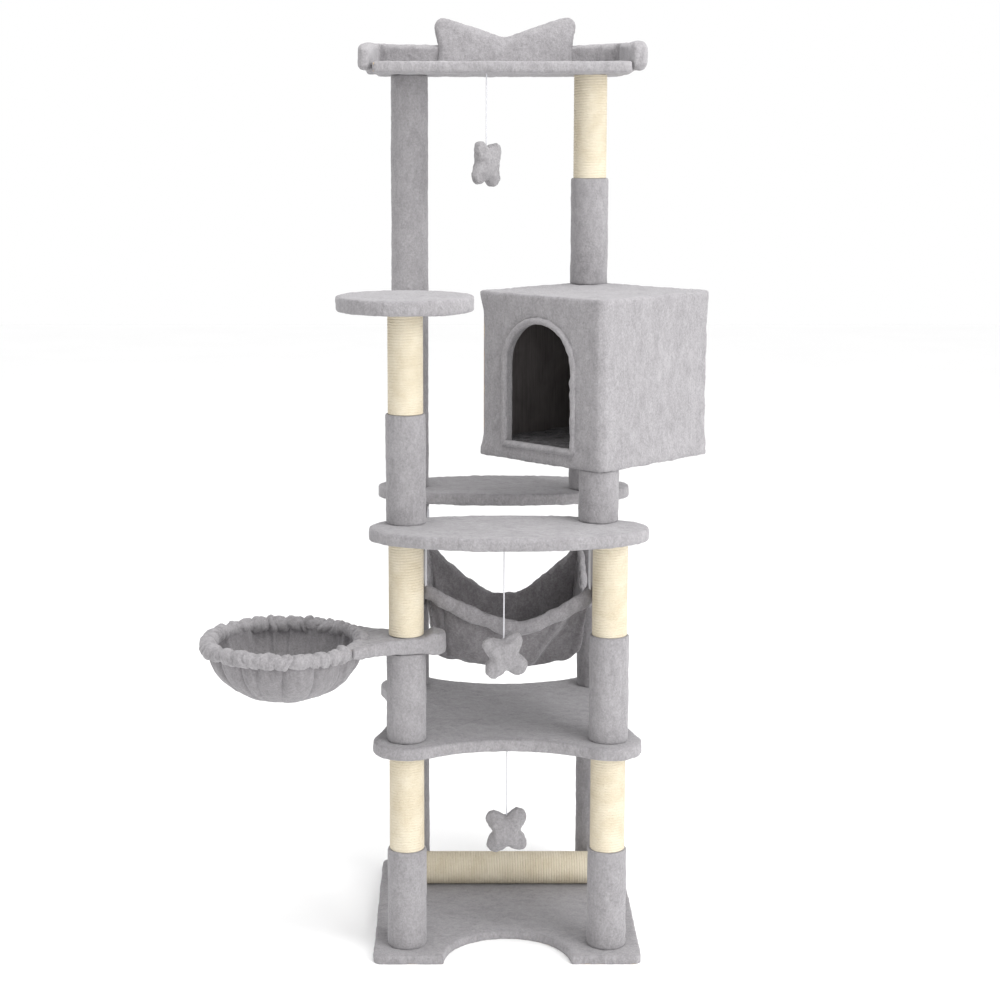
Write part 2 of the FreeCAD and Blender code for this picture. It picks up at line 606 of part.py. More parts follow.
def arch(margin, front, rear):
    """A door-shaped prism: upright sides and a round head, grown by margin."""
    half = number("door_half_width") + margin
    sill, spring = number("door_sill") - margin, number("door_spring")
    corners = [Vector(-half, front, spring), Vector(-half, front, sill),
               Vector(half, front, sill), Vector(half, front, spring)]
    edges = [Part.LineSegment(start, end).toShape()
             for start, end in zip(corners, corners[1:])]
    edges.append(Part.Arc(corners[3], Vector(0, front, spring + half), corners[0]).toShape())
    return Part.Face(Part.Wire(edges)).extrude(Vector(0, rear - front, 0))


def in_house(label, shape):
    obj = feature(label, shape)
    obj.Placement = house_placement
    return finish(label, obj)


def house_holes(places, radius, bottom, top):
    """Holes on the house's front or rear diagonal, in the house's own square frame."""
    inverse = house_placement.inverse()
    tools = []
    for x, y in places:
        spot = inverse.multVec(Vector(number(x), number(y), 0))
        tools.append(Part.makeCylinder(radius, top - bottom, Vector(spot.x, spot.y, bottom)))
    return tools


floor_places = [(UPPER_RIGHT, UPPER_FRONT), (UPPER_RIGHT, UPPER_REAR)]
roof_places = [(UPPER_RIGHT, UPPER_REAR)]
hole, seat = number("hole_radius"), number("counterbore_radius")
head = number("head_height")
lip = number("piping_lip")
gap = number("joint_gap")

rounding = number("house_corner")
floor_board = block(plate_half, skin, wall_foot, rounding - skin)
roof_board = block(plate_half, wall_top, height - skin, rounding - skin)
in_house("house_floor_board", floor_board
         .cut(house_holes(floor_places, hole, 0, height / 2))
         .cut(house_holes(floor_places, seat, wall_foot - head, wall_foot)))
in_house("house_roof_board", roof_board
         .cut(house_holes(roof_places, hole, height / 2, height))
         .cut(house_holes(roof_places, seat, wall_top, wall_top + head)))

door_panel = Part.makeBox(2 * wall_half, panel, wall_top - wall_foot,
                          Vector(-wall_half, -wall_half, wall_foot))
in_house("house_door_panel", door_panel.cut(arch(lip, -wall_half - skin, skin - inner_half)))

rear_panel = Part.makeBox(2 * wall_half, panel, wall_top - wall_foot,
                          Vector(-wall_half, inner_half, wall_foot))
side_panels = [Part.makeBox(panel, 2 * inner_half, wall_top - wall_foot,
                            Vector(x, -inner_half, wall_foot))
               for x in (-wall_half, inner_half)]
in_house("house_wall_panels", Part.makeCompound([rear_panel] + side_panels))

outside = block(width / 2, 0, wall_foot + skin, rounding)
outside = outside.fuse([block(width / 2, wall_top - skin, height, rounding),
                        block(wall_half + skin, wall_foot, wall_top)])
inside = floor_board.fuse([roof_board, block(wall_half, wall_foot, wall_top)])
through = house_holes(floor_places, hole, 0, skin) + house_holes(roof_places, hole,
                                                                  height - skin, height)
in_house("house_cover", outside.removeSplitter().cut(inside.removeSplitter())
         .cut(arch(lip, -wall_half - 2 * skin, 0)).cut(through))

lining = number("lining_thickness")
felt = block(inner_half - gap, wall_foot, wall_top - gap)
felt = felt.cut(block(inner_half - lining, wall_foot - lining, wall_top - lining))
in_house("house_lining", felt.cut(arch(lip, -wall_half, 0)))

mat = block(inner_half - 1.5 * lining, wall_foot, wall_foot + number("mat_thickness"))
in_house("house_mat", mat.makeFillet(number("mat_edge"), mat.Edges))

piping_face = -wall_half - skin - lip
collar = arch(lip - gap, piping_face, -inner_half + lining)
rim = arch(number("piping_width"), piping_face, -wall_half - skin - gap)
in_house("door_piping", collar.fuse(rim).cut(arch(0, piping_face - lip, 0)).removeSplitter())

# ---------------------------------------------------------------- top bolster and crest
top_left = number("top_centre_x - top_width / 2")
top_right = number("top_centre_x + top_width / 2")
top_front = number("top_front_y")
top_rear = number("top_front_y + top_depth")
roll, wall = number("bolster_thickness"), number("bolster_height")
roll_foot = number(TOP_Z)

bolster = Part.makeBox(top_right - top_left + 2 * roll, top_rear - top_front + roll, wall,
                       Vector(top_left - roll, top_front, roll_foot))
upright = [edge for edge in bolster.Edges
           if abs(edge.tangentAt(edge.FirstParameter).z) > 0.9
           and edge.CenterOfMass.y > top_rear]
bolster = bolster.makeFillet(roll, upright)
bolster = bolster.cut(Part.makeBox(top_right - top_left + 2 * gap,
                                   top_rear - top_front + gap + 10, wall + 2,
                                   Vector(top_left - gap, top_front - 10, roll_foot - 1)))
finish("top_bolster", feature("top_bolster", bolster))


def crest_outline():
    """A bow: two round-shouldered wings that slope to a dip in the middle."""
    half, tall = number("crest_half_width"), number("crest_height")
    foot = half - number("crest_foot_inset")
    right = [Vector(foot, 0, 0), Vector(foot, 0, number("crest_side_height")),
             Vector(half, 0, number("crest_shoulder_height")),
             Vector(half - number("crest_crown_inset"), 0, tall),
             Vector(number("crest_slope_x"), 0, tall - number("crest_slope_drop")),
             Vector(0, 0, tall - number("crest_dip"))]
    edges = [Part.LineSegment(right[0], right[1]).toShape(),
             Part.Arc(right[1], right[2], right[3]).toShape(),
             Part.Arc(right[3], right[4], right[5]).toShape()]
    mirrored = [edge.mirror(Vector(), Vector(1, 0, 0)) for edge in edges]
    base = Part.LineSegment(Vector(-foot, 0, 0), right[0]).toShape()
    return Part.Wire(Part.__sortEdges__(edges + mirrored + [base]))


crest = Part.Face(crest_outline()).extrude(Vector(0, number("crest_thickness"), 0))
crest.translate(Vector(number("crest_centre_x"), top_rear + roll + gap, roll_foot))
finish("top_crest", feature("top_crest", crest))

# ---------------------------------------------------------------- basket
basket = Vector(number("basket_x"), number(FRONT), number(ARM_MID))
post_axis = Vector(number(LEFT), number(FRONT), number(ARM_MID))
ring, rim_width = number("ring_radius"), number("ring_width")
arm_half, frame_half = number("arm_thickness / 2"), number("frame_thickness / 2")
margin = number("frame_margin")


def paddle(inset, half_height):
    """A ring whose neck narrows to a pad round the post's axis and ends in a knob."""
    bottom, tall = basket.z - half_height, 2 * half_height
    knob_x, knob = number("knob_x"), number("knob_radius") - inset

    def disc(x, radius):
        return Part.makeCylinder(radius, tall, Vector(x, basket.y, bottom))

    widths = [(number("neck_x"), number("neck_half_width") - inset),
              (number("waist_x"), number("waist_half_width") - inset), (knob_x, knob)]
    side = [Vector(x, basket.y - half, bottom) for x, half in widths]
    side += [Vector(x, basket.y + half, bottom) for x, half in reversed(widths)]
    neck = Part.Face(Part.makePolygon(side + side[:1])).extrude(Vector(0, 0, tall))
    pads = [disc(post_axis.x, number("post_pad_radius") - inset), disc(knob_x, knob)]
    whole = disc(basket.x, ring - inset).fuse([neck] + pads).removeSplitter()
    return whole.cut(disc(basket.x, ring - rim_width + inset))


bolt_hole = Part.makeCylinder(hole, 2 * arm_half, post_axis - Vector(0, 0, arm_half))
finish("basket_frame", feature("basket_frame", paddle(margin, frame_half).cut(bolt_hole)))
padded = paddle(0, arm_half - gap).cut([paddle(margin - gap, frame_half + gap), bolt_hole])
finish("basket_rim", feature("basket_rim", padded))


def bowl(radius, depth):
    """Half an ellipsoid that hangs below the ring."""
    ball = Part.makeSphere(radius)
    stretch = FreeCAD.Matrix()
    stretch.scale(1, 1, depth / radius)
    half = ball.transformGeometry(stretch)
    return half.common(Part.makeBox(2 * radius, 2 * radius, depth,
                                    Vector(-radius, -radius, -depth)))


bowl_radius = ring - rim_width / 2
bowl_depth = number("bowl_depth") - arm_half
cloth = number("bowl_skin")
bowl_solid = bowl(bowl_radius, bowl_depth).cut(bowl(bowl_radius - cloth, bowl_depth - cloth))
bowl_solid.translate(Vector(basket.x, basket.y, basket.z - arm_half))
finish("basket_bowl", feature("basket_bowl", bowl_solid))


# ---------------------------------------------------------------- hammock
def hammock_block(name, inset):
    """A tapered block, wide at the rim and narrower at the belly."""
    obj = doc.addObject("Part::Wedge", name)
    obj.Placement = FreeCAD.Placement(Vector(), FreeCAD.Rotation(Vector(1, 0, 0), 90))
    bind(obj,
         Xmin=f"-(belly_half_width - {inset})", Xmax=f"belly_half_width - {inset}",
         Zmin=f"-(belly_half_depth - {inset})", Zmax=f"belly_half_depth - {inset}",
         X2min=f"-(hammock_half_width - {inset})", X2max=f"hammock_half_width - {inset}",
         Z2min=f"-(hammock_half_depth - {inset})", Z2max=f"hammock_half_depth - {inset}",
         Ymin=inset, Ymax="hammock_rim - hammock_bottom", z="hammock_bottom")
    return obj


def sag_tool(name, half, sag, across):
    """A lying cylinder whose underside cuts a drooping rim between two corners."""
    radius = f"(({half}) * ({half}) + ({sag}) * ({sag})) / (2 * ({sag}))"
    obj = doc.addObject("Part::Cylinder", name)
    axis = Vector(1, 0, 0) if across else Vector(0, 1, 0)
    turn = FreeCAD.Rotation(UP, axis)
    obj.Placement = FreeCAD.Placement(Vector(), turn)
    start = {"x" if across else "y": "-hammock_half_depth - 40"}
    return bind(obj, Radius=radius, Height="2 * (hammock_half_depth + 40)",
                z=f"hammock_rim - {sag} + {radius}", **start)


hammock = cut("hammock_shell", hammock_block("hammock_outside", "0"),
              hammock_block("hammock_inside", "hammock_skin"))
hammock = cut("hammock_front_sag", hammock,
              sag_tool("hammock_front_tool", "hammock_half_width", "hammock_sag", False))
hammock = cut("hammock", hammock,
              sag_tool("hammock_side_tool", "hammock_half_depth", "side_sag", True))
finish("hammock", hammock)

# Each corner hangs from its hook under a step by a taut elastic loop.
hook_ring, hook_wire = number("hook_ring_radius"), number("hook_wire_radius")
drop, grip = number("hook_drop"), number("hook_grip")
hooks, loops = [], []
for place in FRONT_HOOKS + REAR_HOOKS:
    x, y = number(place[0]), number(place[1])
    eye = Vector(x, y, number(STEP_Z) - drop)
    shank = Part.makeCylinder(hook_wire, drop + skin + grip - hook_ring,
                              eye + Vector(0, 0, hook_ring))
    ring_wire = Part.makeTorus(hook_ring, hook_wire, eye, Vector(1, 0, 0))
    hooks.append(ring_wire.fuse(shank).removeSplitter())
    foot = number("hammock_rim") + gap
    head_z = eye.z - hook_ring - hook_wire - gap
    loops.append(Part.makeCylinder(number("loop_radius"), head_z - foot, Vector(x, y, foot)))
finish("hammock_hooks", feature("hammock_hooks", Part.makeCompound(hooks)))
finish("hammock_loops", feature("hammock_loops", Part.makeCompound(loops)))


# ---------------------------------------------------------------- hanging toys
def toy_shape(x, y, cord_end):
    """A cushion of four round lobes about a core, with the tab that its cord is sewn to."""
    lobe, core_radius = number("lobe_size"), number("toy_core_radius")
    spread_x, spread_z = number("lobe_spread_x"), number("lobe_spread_z")
    half = number("toy_thickness") / 2
    core_half, tab = 0.7 * half, number("tab_length")
    centre = Vector(x, y, cord_end - core_radius - tab)
    squeeze = FreeCAD.Matrix()
    squeeze.scale(1, 0.8 * half / lobe, 1)
    ball = Part.makeSphere(lobe).transformGeometry(squeeze)
    pieces = []
    for side in (-1, 1):
        for rise in (-1, 1):
            copy = ball.copy()
            copy.translate(centre + Vector(side * spread_x, 0, rise * spread_z))
            pieces.append(copy)
    pieces.append(Part.makeCylinder(number("tab_radius"), tab + core_half,
                                    centre + Vector(0, 0, core_radius - core_half)))
    core = Part.makeCylinder(core_radius, 2 * core_half, centre - Vector(0, core_half, 0),
                             Vector(0, 1, 0))
    return core.fuse(pieces)


# A cord's ends are round about the two points it turns on, this far inside its ends.
SWING = "(cord_radius + joint_gap)"


def hanging_cord(name, x, y, top, length):
    low, high = f"{top} - {length} + {SWING}", f"{top} - {SWING}"
    pieces = [cylinder(f"{name}_shaft", "cord_radius", f"{length} - 2 * {SWING}", x, y, low)]
    for end, z in (("low", low), ("high", high)):
        dome = doc.addObject("Part::Sphere", f"{name}_{end}_end")
        pieces.append(bind(dome, Radius="cord_radius", x=x, y=y, z=z))
    whole = doc.addObject("Part::MultiFuse", name)
    whole.Shapes = pieces
    return finish(name, whole)


staples = []
width, wire, leg = number("staple_width"), number("staple_wire"), number("staple_leg")
for name, level in TOYS.items():
    x, y, length = f"{name}_toy_x", f"{name}_toy_y", f"{name}_cord"
    hanging_cord(f"{name}_toy_cord", x, y, level, length)
    print(f"{name}_toy_cord: {number(length):.0f} mm, straight")
    place = Vector(number(x), number(y), number(level))
    finish(f"{name}_toy", feature(f"{name}_toy",
                                  toy_shape(place.x, place.y, place.z - number(length))))
    corner = place + Vector(-width / 2, -wire / 2, gap)
    crown = Part.makeBox(width, wire, wire, corner)
    legs = [Part.makeBox(wire, wire, leg, corner + Vector(side, 0, 0))
            for side in (0, width - wire)]
    staples.append(crown.fuse(legs).removeSplitter())
finish("cord_staples", feature("cord_staples", Part.makeCompound(staples)))

# ---------------------------------------------------------------- checks and export
doc.recompute()
for obj in doc.Objects:
    if "Invalid" in obj.State or "Error" in obj.State:
        raise RuntimeError(f"{obj.Label} failed: {obj.State}")
os.makedirs("parts", exist_ok=True)
for label, obj in subparts.items():
    if obj.Shape.isNull() or not obj.Shape.isValid():
        raise RuntimeError(f"{label} has no valid shape")
for label, obj in subparts.items():
    obj.Shape.exportStep(f"parts/{label}.step")
print(f"{len(subparts)} sub-parts written")
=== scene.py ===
import json
import math

import bmesh
import bpy
import numpy as np
from mathutils import Matrix, Vector
from mathutils.bvhtree import BVHTree


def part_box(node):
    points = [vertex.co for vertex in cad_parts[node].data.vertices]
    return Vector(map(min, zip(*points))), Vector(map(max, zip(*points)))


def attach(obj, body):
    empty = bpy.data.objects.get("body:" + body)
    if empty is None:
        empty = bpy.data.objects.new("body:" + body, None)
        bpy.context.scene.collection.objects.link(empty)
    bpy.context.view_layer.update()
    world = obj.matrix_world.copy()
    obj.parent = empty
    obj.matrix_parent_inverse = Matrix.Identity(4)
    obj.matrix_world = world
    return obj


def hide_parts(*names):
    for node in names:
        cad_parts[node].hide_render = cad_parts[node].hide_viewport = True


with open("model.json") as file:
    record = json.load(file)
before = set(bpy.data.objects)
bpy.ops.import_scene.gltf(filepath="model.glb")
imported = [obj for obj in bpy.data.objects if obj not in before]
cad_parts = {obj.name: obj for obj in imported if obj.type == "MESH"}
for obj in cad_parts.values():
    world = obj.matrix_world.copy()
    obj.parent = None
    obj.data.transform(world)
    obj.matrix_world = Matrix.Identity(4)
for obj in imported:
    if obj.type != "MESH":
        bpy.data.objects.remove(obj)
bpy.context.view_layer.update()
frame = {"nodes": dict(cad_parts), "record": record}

scene = bpy.context.scene
MM = 0.001

# ---------------------------------------------------------------- sizes taken from the frame
base_low, base_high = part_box("base_cover")
platform_low, platform_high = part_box("lower_platform_cover")
front_low, front_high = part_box("front_step_cover")
rear_low, rear_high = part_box("rear_step_cover")
perch_low, perch_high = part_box("perch_cover")
top_low, top_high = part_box("top_platform_cover")
house_low, house_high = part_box("house_cover")
hammock_low, hammock_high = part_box("hammock")
ring_low, ring_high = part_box("basket_rim")
bowl_low, bowl_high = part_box("basket_bowl")
bolster_low, bolster_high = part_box("top_bolster")
crest_low, crest_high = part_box("top_crest")

SLEEVE_RADIUS = 36.5 * MM
SISAL_RADIUS = 32.5 * MM
TUBE_RADIUS = 30 * MM
POST_REACH = 187.5 * MM
UPPER_RIGHT = 166.5 * MM


# ---------------------------------------------------------------- mesh helpers
def add_mesh(name, points, faces):
    mesh = bpy.data.meshes.new(name)
    mesh.from_pydata(np.asarray(points, float).tolist(), [], faces)
    mesh.update()
    mesh.polygons.foreach_set("use_smooth", [True] * len(mesh.polygons))
    obj = bpy.data.objects.new(name, mesh)
    scene.collection.objects.link(obj)
    return obj


def coordinates(obj):
    found = np.empty(len(obj.data.vertices) * 3)
    obj.data.vertices.foreach_get("co", found)
    return found.reshape(-1, 3)


def set_coordinates(obj, points):
    obj.data.vertices.foreach_set("co", np.asarray(points, float).ravel())
    obj.data.update()


def normals(obj):
    found = np.empty(len(obj.data.vertices) * 3)
    obj.data.vertices.foreach_get("normal", found)
    return found.reshape(-1, 3)


def grid_faces(rows, columns, wrap_rows=False, wrap_columns=False):
    """Quads between rows of points; a wrapped direction closes on itself."""
    faces = []
    for row in range(rows if wrap_rows else rows - 1):
        above = (row + 1) % rows
        for column in range(columns if wrap_columns else columns - 1):
            beside = (column + 1) % columns
            faces.append((row * columns + column, row * columns + beside,
                          above * columns + beside, above * columns + column))
    return faces


def apply_modifiers(obj):
    depsgraph = bpy.context.evaluated_depsgraph_get()
    mesh = bpy.data.meshes.new_from_object(obj.evaluated_get(depsgraph))
    obj.modifiers.clear()
    old = obj.data
    obj.data = mesh
    bpy.data.meshes.remove(old)
    mesh.polygons.foreach_set("use_smooth", [True] * len(mesh.polygons))
    return obj


def outward(obj):
    """Turn every face to the outside."""
    work = bmesh.new()
    work.from_mesh(obj.data)
    bmesh.ops.recalc_face_normals(work, faces=work.faces)
    work.to_mesh(obj.data)
    work.free()
    return obj


def remeshed(obj, voxel, smoothing):
    modifier = obj.modifiers.new("Remesh", "REMESH")
    modifier.mode = "VOXEL"
    modifier.voxel_size = voxel
    modifier = obj.modifiers.new("Smooth", "SMOOTH")
    modifier.factor = 0.5
    modifier.iterations = smoothing
    return apply_modifiers(obj)


def subdivided(obj):
    modifier = obj.modifiers.new("Subdivision", "SUBSURF")
    modifier.levels = 1
    modifier.render_levels = 1
    return apply_modifiers(obj)


def thickened(obj, thickness):
    """Give a sheet its thickness, half to each side."""
    modifier = obj.modifiers.new("Solidify", "SOLIDIFY")
    modifier.thickness = thickness
    modifier.offset = 0
    return apply_modifiers(obj)


def simulated(obj, frames, keep, gravity=1, **settings):
    """Let a piece move as cloth; keep(distance) is the share of its way that a point goes."""
    start = coordinates(obj)
    cloth = obj.modifiers.new("Cloth", "CLOTH")
    for key, value in settings.items():
        setattr(cloth.settings, key, value)
    cloth.settings.effector_weights.gravity = gravity
    cloth.collision_settings.use_collision = False
    cloth.point_cache.frame_start = 1
    cloth.point_cache.frame_end = frames
    for step in range(1, frames + 1):
        scene.frame_set(step)
    apply_modifiers(obj)
    scene.frame_set(1)
    moved = coordinates(obj) - start
    distance = np.maximum(np.linalg.norm(moved, axis=1), 1e-9)
    set_coordinates(obj, start + moved * keep(distance)[:, None])


def lumps(points, size, seed):
    """Smooth value noise from -1 to 1; size is how far apart its lumps are."""
    table = np.random.default_rng(seed).random(8192) * 2 - 1
    scaled = points / size
    cell = np.floor(scaled).astype(np.int64)
    part = scaled - cell
    part = part * part * (3 - 2 * part)
    total = np.zeros(len(points))
    for corner in np.ndindex(2, 2, 2):
        step = np.array(corner)
        place = cell + step
        key = (place[:, 0] * 73856093) ^ (place[:, 1] * 19349663) ^ (place[:, 2] * 83492791)
        weight = np.prod(np.where(step == 1, part, 1 - part), axis=1)
        total += weight * table[key & 8191]
    return total


def ruffle(obj, layers, seed):
    """Move the surface in and out by layers of noise: (lump size, depth), in metres."""
    points = coordinates(obj)
    shift = sum(depth * lumps(points, size, seed + count)
                for count, (size, depth) in enumerate(layers))
    set_coordinates(obj, points + normals(obj) * shift[:, None])
    return obj


# The uneven surface of short plush, for ruffle().
PILE = [(0.030, 0.0009), (0.012, 0.0007), (0.0055, 0.0006)]


def keep_outside(obj, gap, *nodes):
    """Push the surface out wherever it comes nearer than gap to a hard piece inside it."""
    for node in nodes:
        source = frame["nodes"][node]
        tree = BVHTree.FromPolygons([source.matrix_world @ vertex.co for vertex in
                                     source.data.vertices],
                                    [tuple(face.vertices) for face in source.data.polygons])
        for vertex in obj.data.vertices:
            near, normal, _, distance = tree.find_nearest(vertex.co, 0.03)
            if near is None:
                continue
            away = vertex.co - near
            inside = away.dot(normal) < 0
            if inside or distance < gap:
                way = normal if inside or distance < 1e-6 else away.normalized()
                vertex.co = near + way * gap
    obj.data.update()
    return obj


def prism(name, outline, bottom, top):
    """A closed solid from a flat outline in X and Y."""
    count = len(outline)
    points = [(x, y, bottom) for x, y in outline] + [(x, y, top) for x, y in outline]
    faces = [tuple(range(count))[::-1], tuple(range(count, 2 * count))]
    faces += [(index, (index + 1) % count, count + (index + 1) % count, count + index)
              for index in range(count)]
    return outward(add_mesh(name, points, faces))


def upright_prism(name, outline, front, rear):
    """A closed solid from a flat outline in X and Z."""
    count = len(outline)
    points = [(x, y, z) for y in (front, rear) for x, z in outline]
    faces = [tuple(range(count)), tuple(range(count, 2 * count))[::-1]]
    faces += [(index, count + index, count + (index + 1) % count, (index + 1) % count)
              for index in range(count)]
    return outward(add_mesh(name, points, faces))


def arc(centre, radius, start, end, count):
    """Points along an arc, in degrees."""
    return [(centre[0] + radius * math.cos(math.radians(angle)),
             centre[1] + radius * math.sin(math.radians(angle)))
            for angle in np.linspace(start, end, count)]


def sweep(name, path, radius, sides=16, closed=False, flat=1.0, wobble=None):
    """A round or flattened tube along a path; radius is a number or one per point."""
    path = np.asarray(path, float)
    count = len(path)
    radii = np.broadcast_to(radius, (count,)).astype(float)
    if closed:
        ahead, behind = np.roll(path, -1, 0), np.roll(path, 1, 0)
    else:
        ahead = np.vstack([path[1:], path[-1:]])
        behind = np.vstack([path[:1], path[:-1]])
    tangents = ahead - behind
    tangents /= np.linalg.norm(tangents, axis=1)[:, None]
    side = np.cross(tangents[0], (0, 0, 1))
    if np.linalg.norm(side) < 0.1:
        side = np.cross(tangents[0], (0, 1, 0))
    points = []
    for index in range(count):
        side = side - tangents[index] * side.dot(tangents[index])
        side /= np.linalg.norm(side)
        up = np.cross(side, tangents[index])
        for turn in range(sides):
            angle = 2 * math.pi * turn / sides
            reach = radii[index] * (1 + (wobble(index, angle) if wobble else 0))
            points.append(path[index] + reach * (math.cos(angle) * side
                                                 + flat * math.sin(angle) * up))
    faces = grid_faces(count, sides, wrap_rows=closed, wrap_columns=True)
    if not closed:
        faces.append(tuple(range(sides)))
        faces.append(tuple(range((count - 1) * sides, count * sides))[::-1])
    return outward(add_mesh(name, points, faces))


def finish_piece(obj, material, slot, *nodes, body="root"):
    """Give a piece its material, hide the nodes it stands for and hang it on the body it rides on;
    slot is not used.
    """
    obj.data.materials.clear()
    obj.data.materials.append(material)
    if nodes:
        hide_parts(*nodes)
    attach(obj, body)
    return obj


# ---------------------------------------------------------------- material helpers
class Shader:
    """A small builder for node materials, with object coordinates to hand."""

    def __init__(self, name, **sockets):
        self.material = bpy.data.materials.new(name)
        self.material.use_nodes = True
        self.tree = self.material.node_tree
        self.surface = self.tree.nodes["Principled BSDF"]
        self.space = self.tree.nodes.new("ShaderNodeTexCoord").outputs["Object"]
        for socket, value in sockets.items():
            self.surface.inputs[socket.replace("_", " ")].default_value = value

    def add(self, kind, inputs=None, **settings):
        made = self.tree.nodes.new(kind)
        for key, value in settings.items():
            setattr(made, key, value)
        for key, value in (inputs or {}).items():
            if isinstance(value, bpy.types.NodeSocket):
                self.tree.links.new(value, made.inputs[key])
            else:
                made.inputs[key].default_value = value
        return made

    def stretched(self, scale, rotation=(0, 0, 0)):
        return self.add("ShaderNodeMapping", {"Vector": self.space, "Scale": scale,
                                              "Rotation": rotation}).outputs["Vector"]

    def noise(self, scale, detail=3, distortion=0.0, vector=None):
        return self.add("ShaderNodeTexNoise", {
            "Vector": vector or self.space, "Scale": scale, "Detail": detail,
            "Roughness": 0.6, "Distortion": distortion}).outputs["Fac"]

    def wave(self, vector, scale, distortion, direction="Z", **inputs):
        return self.add("ShaderNodeTexWave", {"Vector": vector, "Scale": scale,
                                              "Distortion": distortion, **inputs},
                        wave_type="BANDS", bands_direction=direction).outputs["Fac"]

    def math(self, operation, first, second):
        return self.add("ShaderNodeMath", {0: first, 1: second},
                        operation=operation).outputs["Value"]

    def blend(self, *parts):
        """The sum of (value, weight) parts."""
        total = None
        for value, weight in parts:
            part = self.math("MULTIPLY", value, weight)
            total = self.math("ADD", total, part) if total else part
        return total

    def ramp(self, factor, stops):
        made = self.add("ShaderNodeValToRGB", {"Fac": factor})
        elements = made.color_ramp.elements
        while len(elements) < len(stops):
            elements.new(0.5)
        for element, (place, colour) in zip(elements, stops):
            element.position = place
            element.color = (*colour, 1)
        return made.outputs["Color"]

    def set(self, socket, value):
        self.tree.links.new(value, self.surface.inputs[socket])

    def spread_roughness(self, value, low, high):
        """Roughness from low to high as the value goes from 0 to 1."""
        self.set("Roughness", self.add("ShaderNodeMapRange", {
            "Value": value, "To Min": low, "To Max": high}).outputs["Result"])

    def finish(self, factor, stops, normal):
        """Colour the surface by the ramp, give it the bumped normal and hand the material over."""
        self.set("Base Color", self.ramp(factor, stops))
        self.set("Normal", normal)
        return self.material

    def bump(self, height, distance, strength, over=None):
        inputs = {"Height": height, "Distance": distance, "Strength": strength}
        if over is not None:
            inputs["Normal"] = over
        return self.add("ShaderNodeBump", inputs).outputs["Normal"]


def plush(name, shadow, middle, light, tuft=1.0, depth=1.0):
    """Short-pile plush: faint brushed patches, small tufts and fine fibres that lie one way."""
    shader = Shader(name, Roughness=0.95, Sheen_Weight=0.30, Sheen_Roughness=0.5,
                    Sheen_Tint=(0.95, 0.94, 0.97, 1), Specular_IOR_Level=0.08)
    lie = (1, 1, 0.45)
    patches = shader.noise(26, 4, 0.8, vector=shader.stretched((1, 1, 0.6)))
    strokes = shader.noise(90 * tuft, 4, 0.9, vector=shader.stretched(lie))
    tufts = shader.noise(230 * tuft, 4, 0.4)
    fibres = shader.noise(700 * tuft, 3, 0.3, vector=shader.stretched(lie))
    blend = shader.blend((patches, 0.18), (strokes, 0.24), (tufts, 0.30), (fibres, 0.28))
    coarse = shader.bump(tufts, 0.0016 * depth, 0.7)
    return shader.finish(blend, [(0.41, shadow), (0.50, middle), (0.60, light)],
                         shader.bump(fibres, 0.0010 * depth, 0.8, over=coarse))


def sisal():
    """Wound sisal: twisted strands with loose straw-coloured fibres."""
    shader = Shader("sisal_rope", Roughness=0.85, Specular_IOR_Level=0.18,
                    Sheen_Weight=0.12, Sheen_Tint=(1.0, 0.93, 0.78, 1))
    turns = shader.add("ShaderNodeUVMap", uv_map="wrap").outputs["UV"]
    twist, along = (shader.add("ShaderNodeMapping", {
        "Vector": turns, "Scale": scale, "Rotation": (0, 0, angle)}).outputs["Vector"]
        for scale, angle in (((1, 1, 1), 0.55), ((0.18, 1, 1), 0)))
    strands = shader.wave(twist, 150, 3.0, "X", Detail=2, **{"Detail Scale": 2.0})
    fibres = shader.noise(1500, 3, 0.2, vector=along)
    mixed = shader.blend((fibres, 0.5), (shader.noise(22, 3, 0.5), 0.3), (strands, 0.2))
    strand_bump = shader.bump(strands, 0.0006, 0.6)
    return shader.finish(mixed, [
        (0.30, (0.40, 0.32, 0.20)), (0.47, (0.59, 0.525, 0.40)), (0.64, (0.69, 0.635, 0.52))],
        shader.bump(fibres, 0.0005, 0.7, over=strand_bump))


def chipboard():
    shader = Shader("chipboard", Roughness=0.8, Specular_IOR_Level=0.25)
    chips = shader.add("ShaderNodeTexVoronoi", {
        "Vector": shader.stretched((1, 1, 3)), "Scale": 260, "Randomness": 1}).outputs["Color"]
    chip_value = shader.add("ShaderNodeRGBToBW", {"Color": chips}).outputs["Val"]
    mixed = shader.blend((chip_value, 0.7), (shader.noise(900, 3), 0.3))
    return shader.finish(mixed, [
        (0.15, (0.30, 0.20, 0.11)), (0.5, (0.52, 0.39, 0.24)), (0.85, (0.68, 0.55, 0.37))],
        shader.bump(mixed, 0.0004, 0.6))


def cardboard():
    shader = Shader("cardboard", Roughness=0.88, Specular_IOR_Level=0.2)
    fibres = shader.noise(650, 4, 0.4, vector=shader.stretched((1, 1, 0.25)))
    seams = shader.wave(shader.stretched((1, 1, 1), (0.5, 0, 0)), 6, 0.4)
    return shader.finish(shader.blend((fibres, 0.8), (seams, 0.15)),
                         [(0.25, (0.30, 0.20, 0.12)), (0.7, (0.48, 0.35, 0.22))],
                         shader.bump(fibres, 0.0002, 0.5))


def zinc():
    shader = Shader("zinc_steel", Metallic=1.0, Specular_IOR_Level=0.5)
    marks = shader.noise(700, 4, 0.8, vector=shader.stretched((1, 1, 5)))
    shader.spread_roughness(marks, 0.28, 0.5)
    return shader.finish(marks, [(0.3, (0.50, 0.50, 0.52)), (0.7, (0.72, 0.72, 0.74))],
                         shader.bump(marks, 0.0001, 0.4))


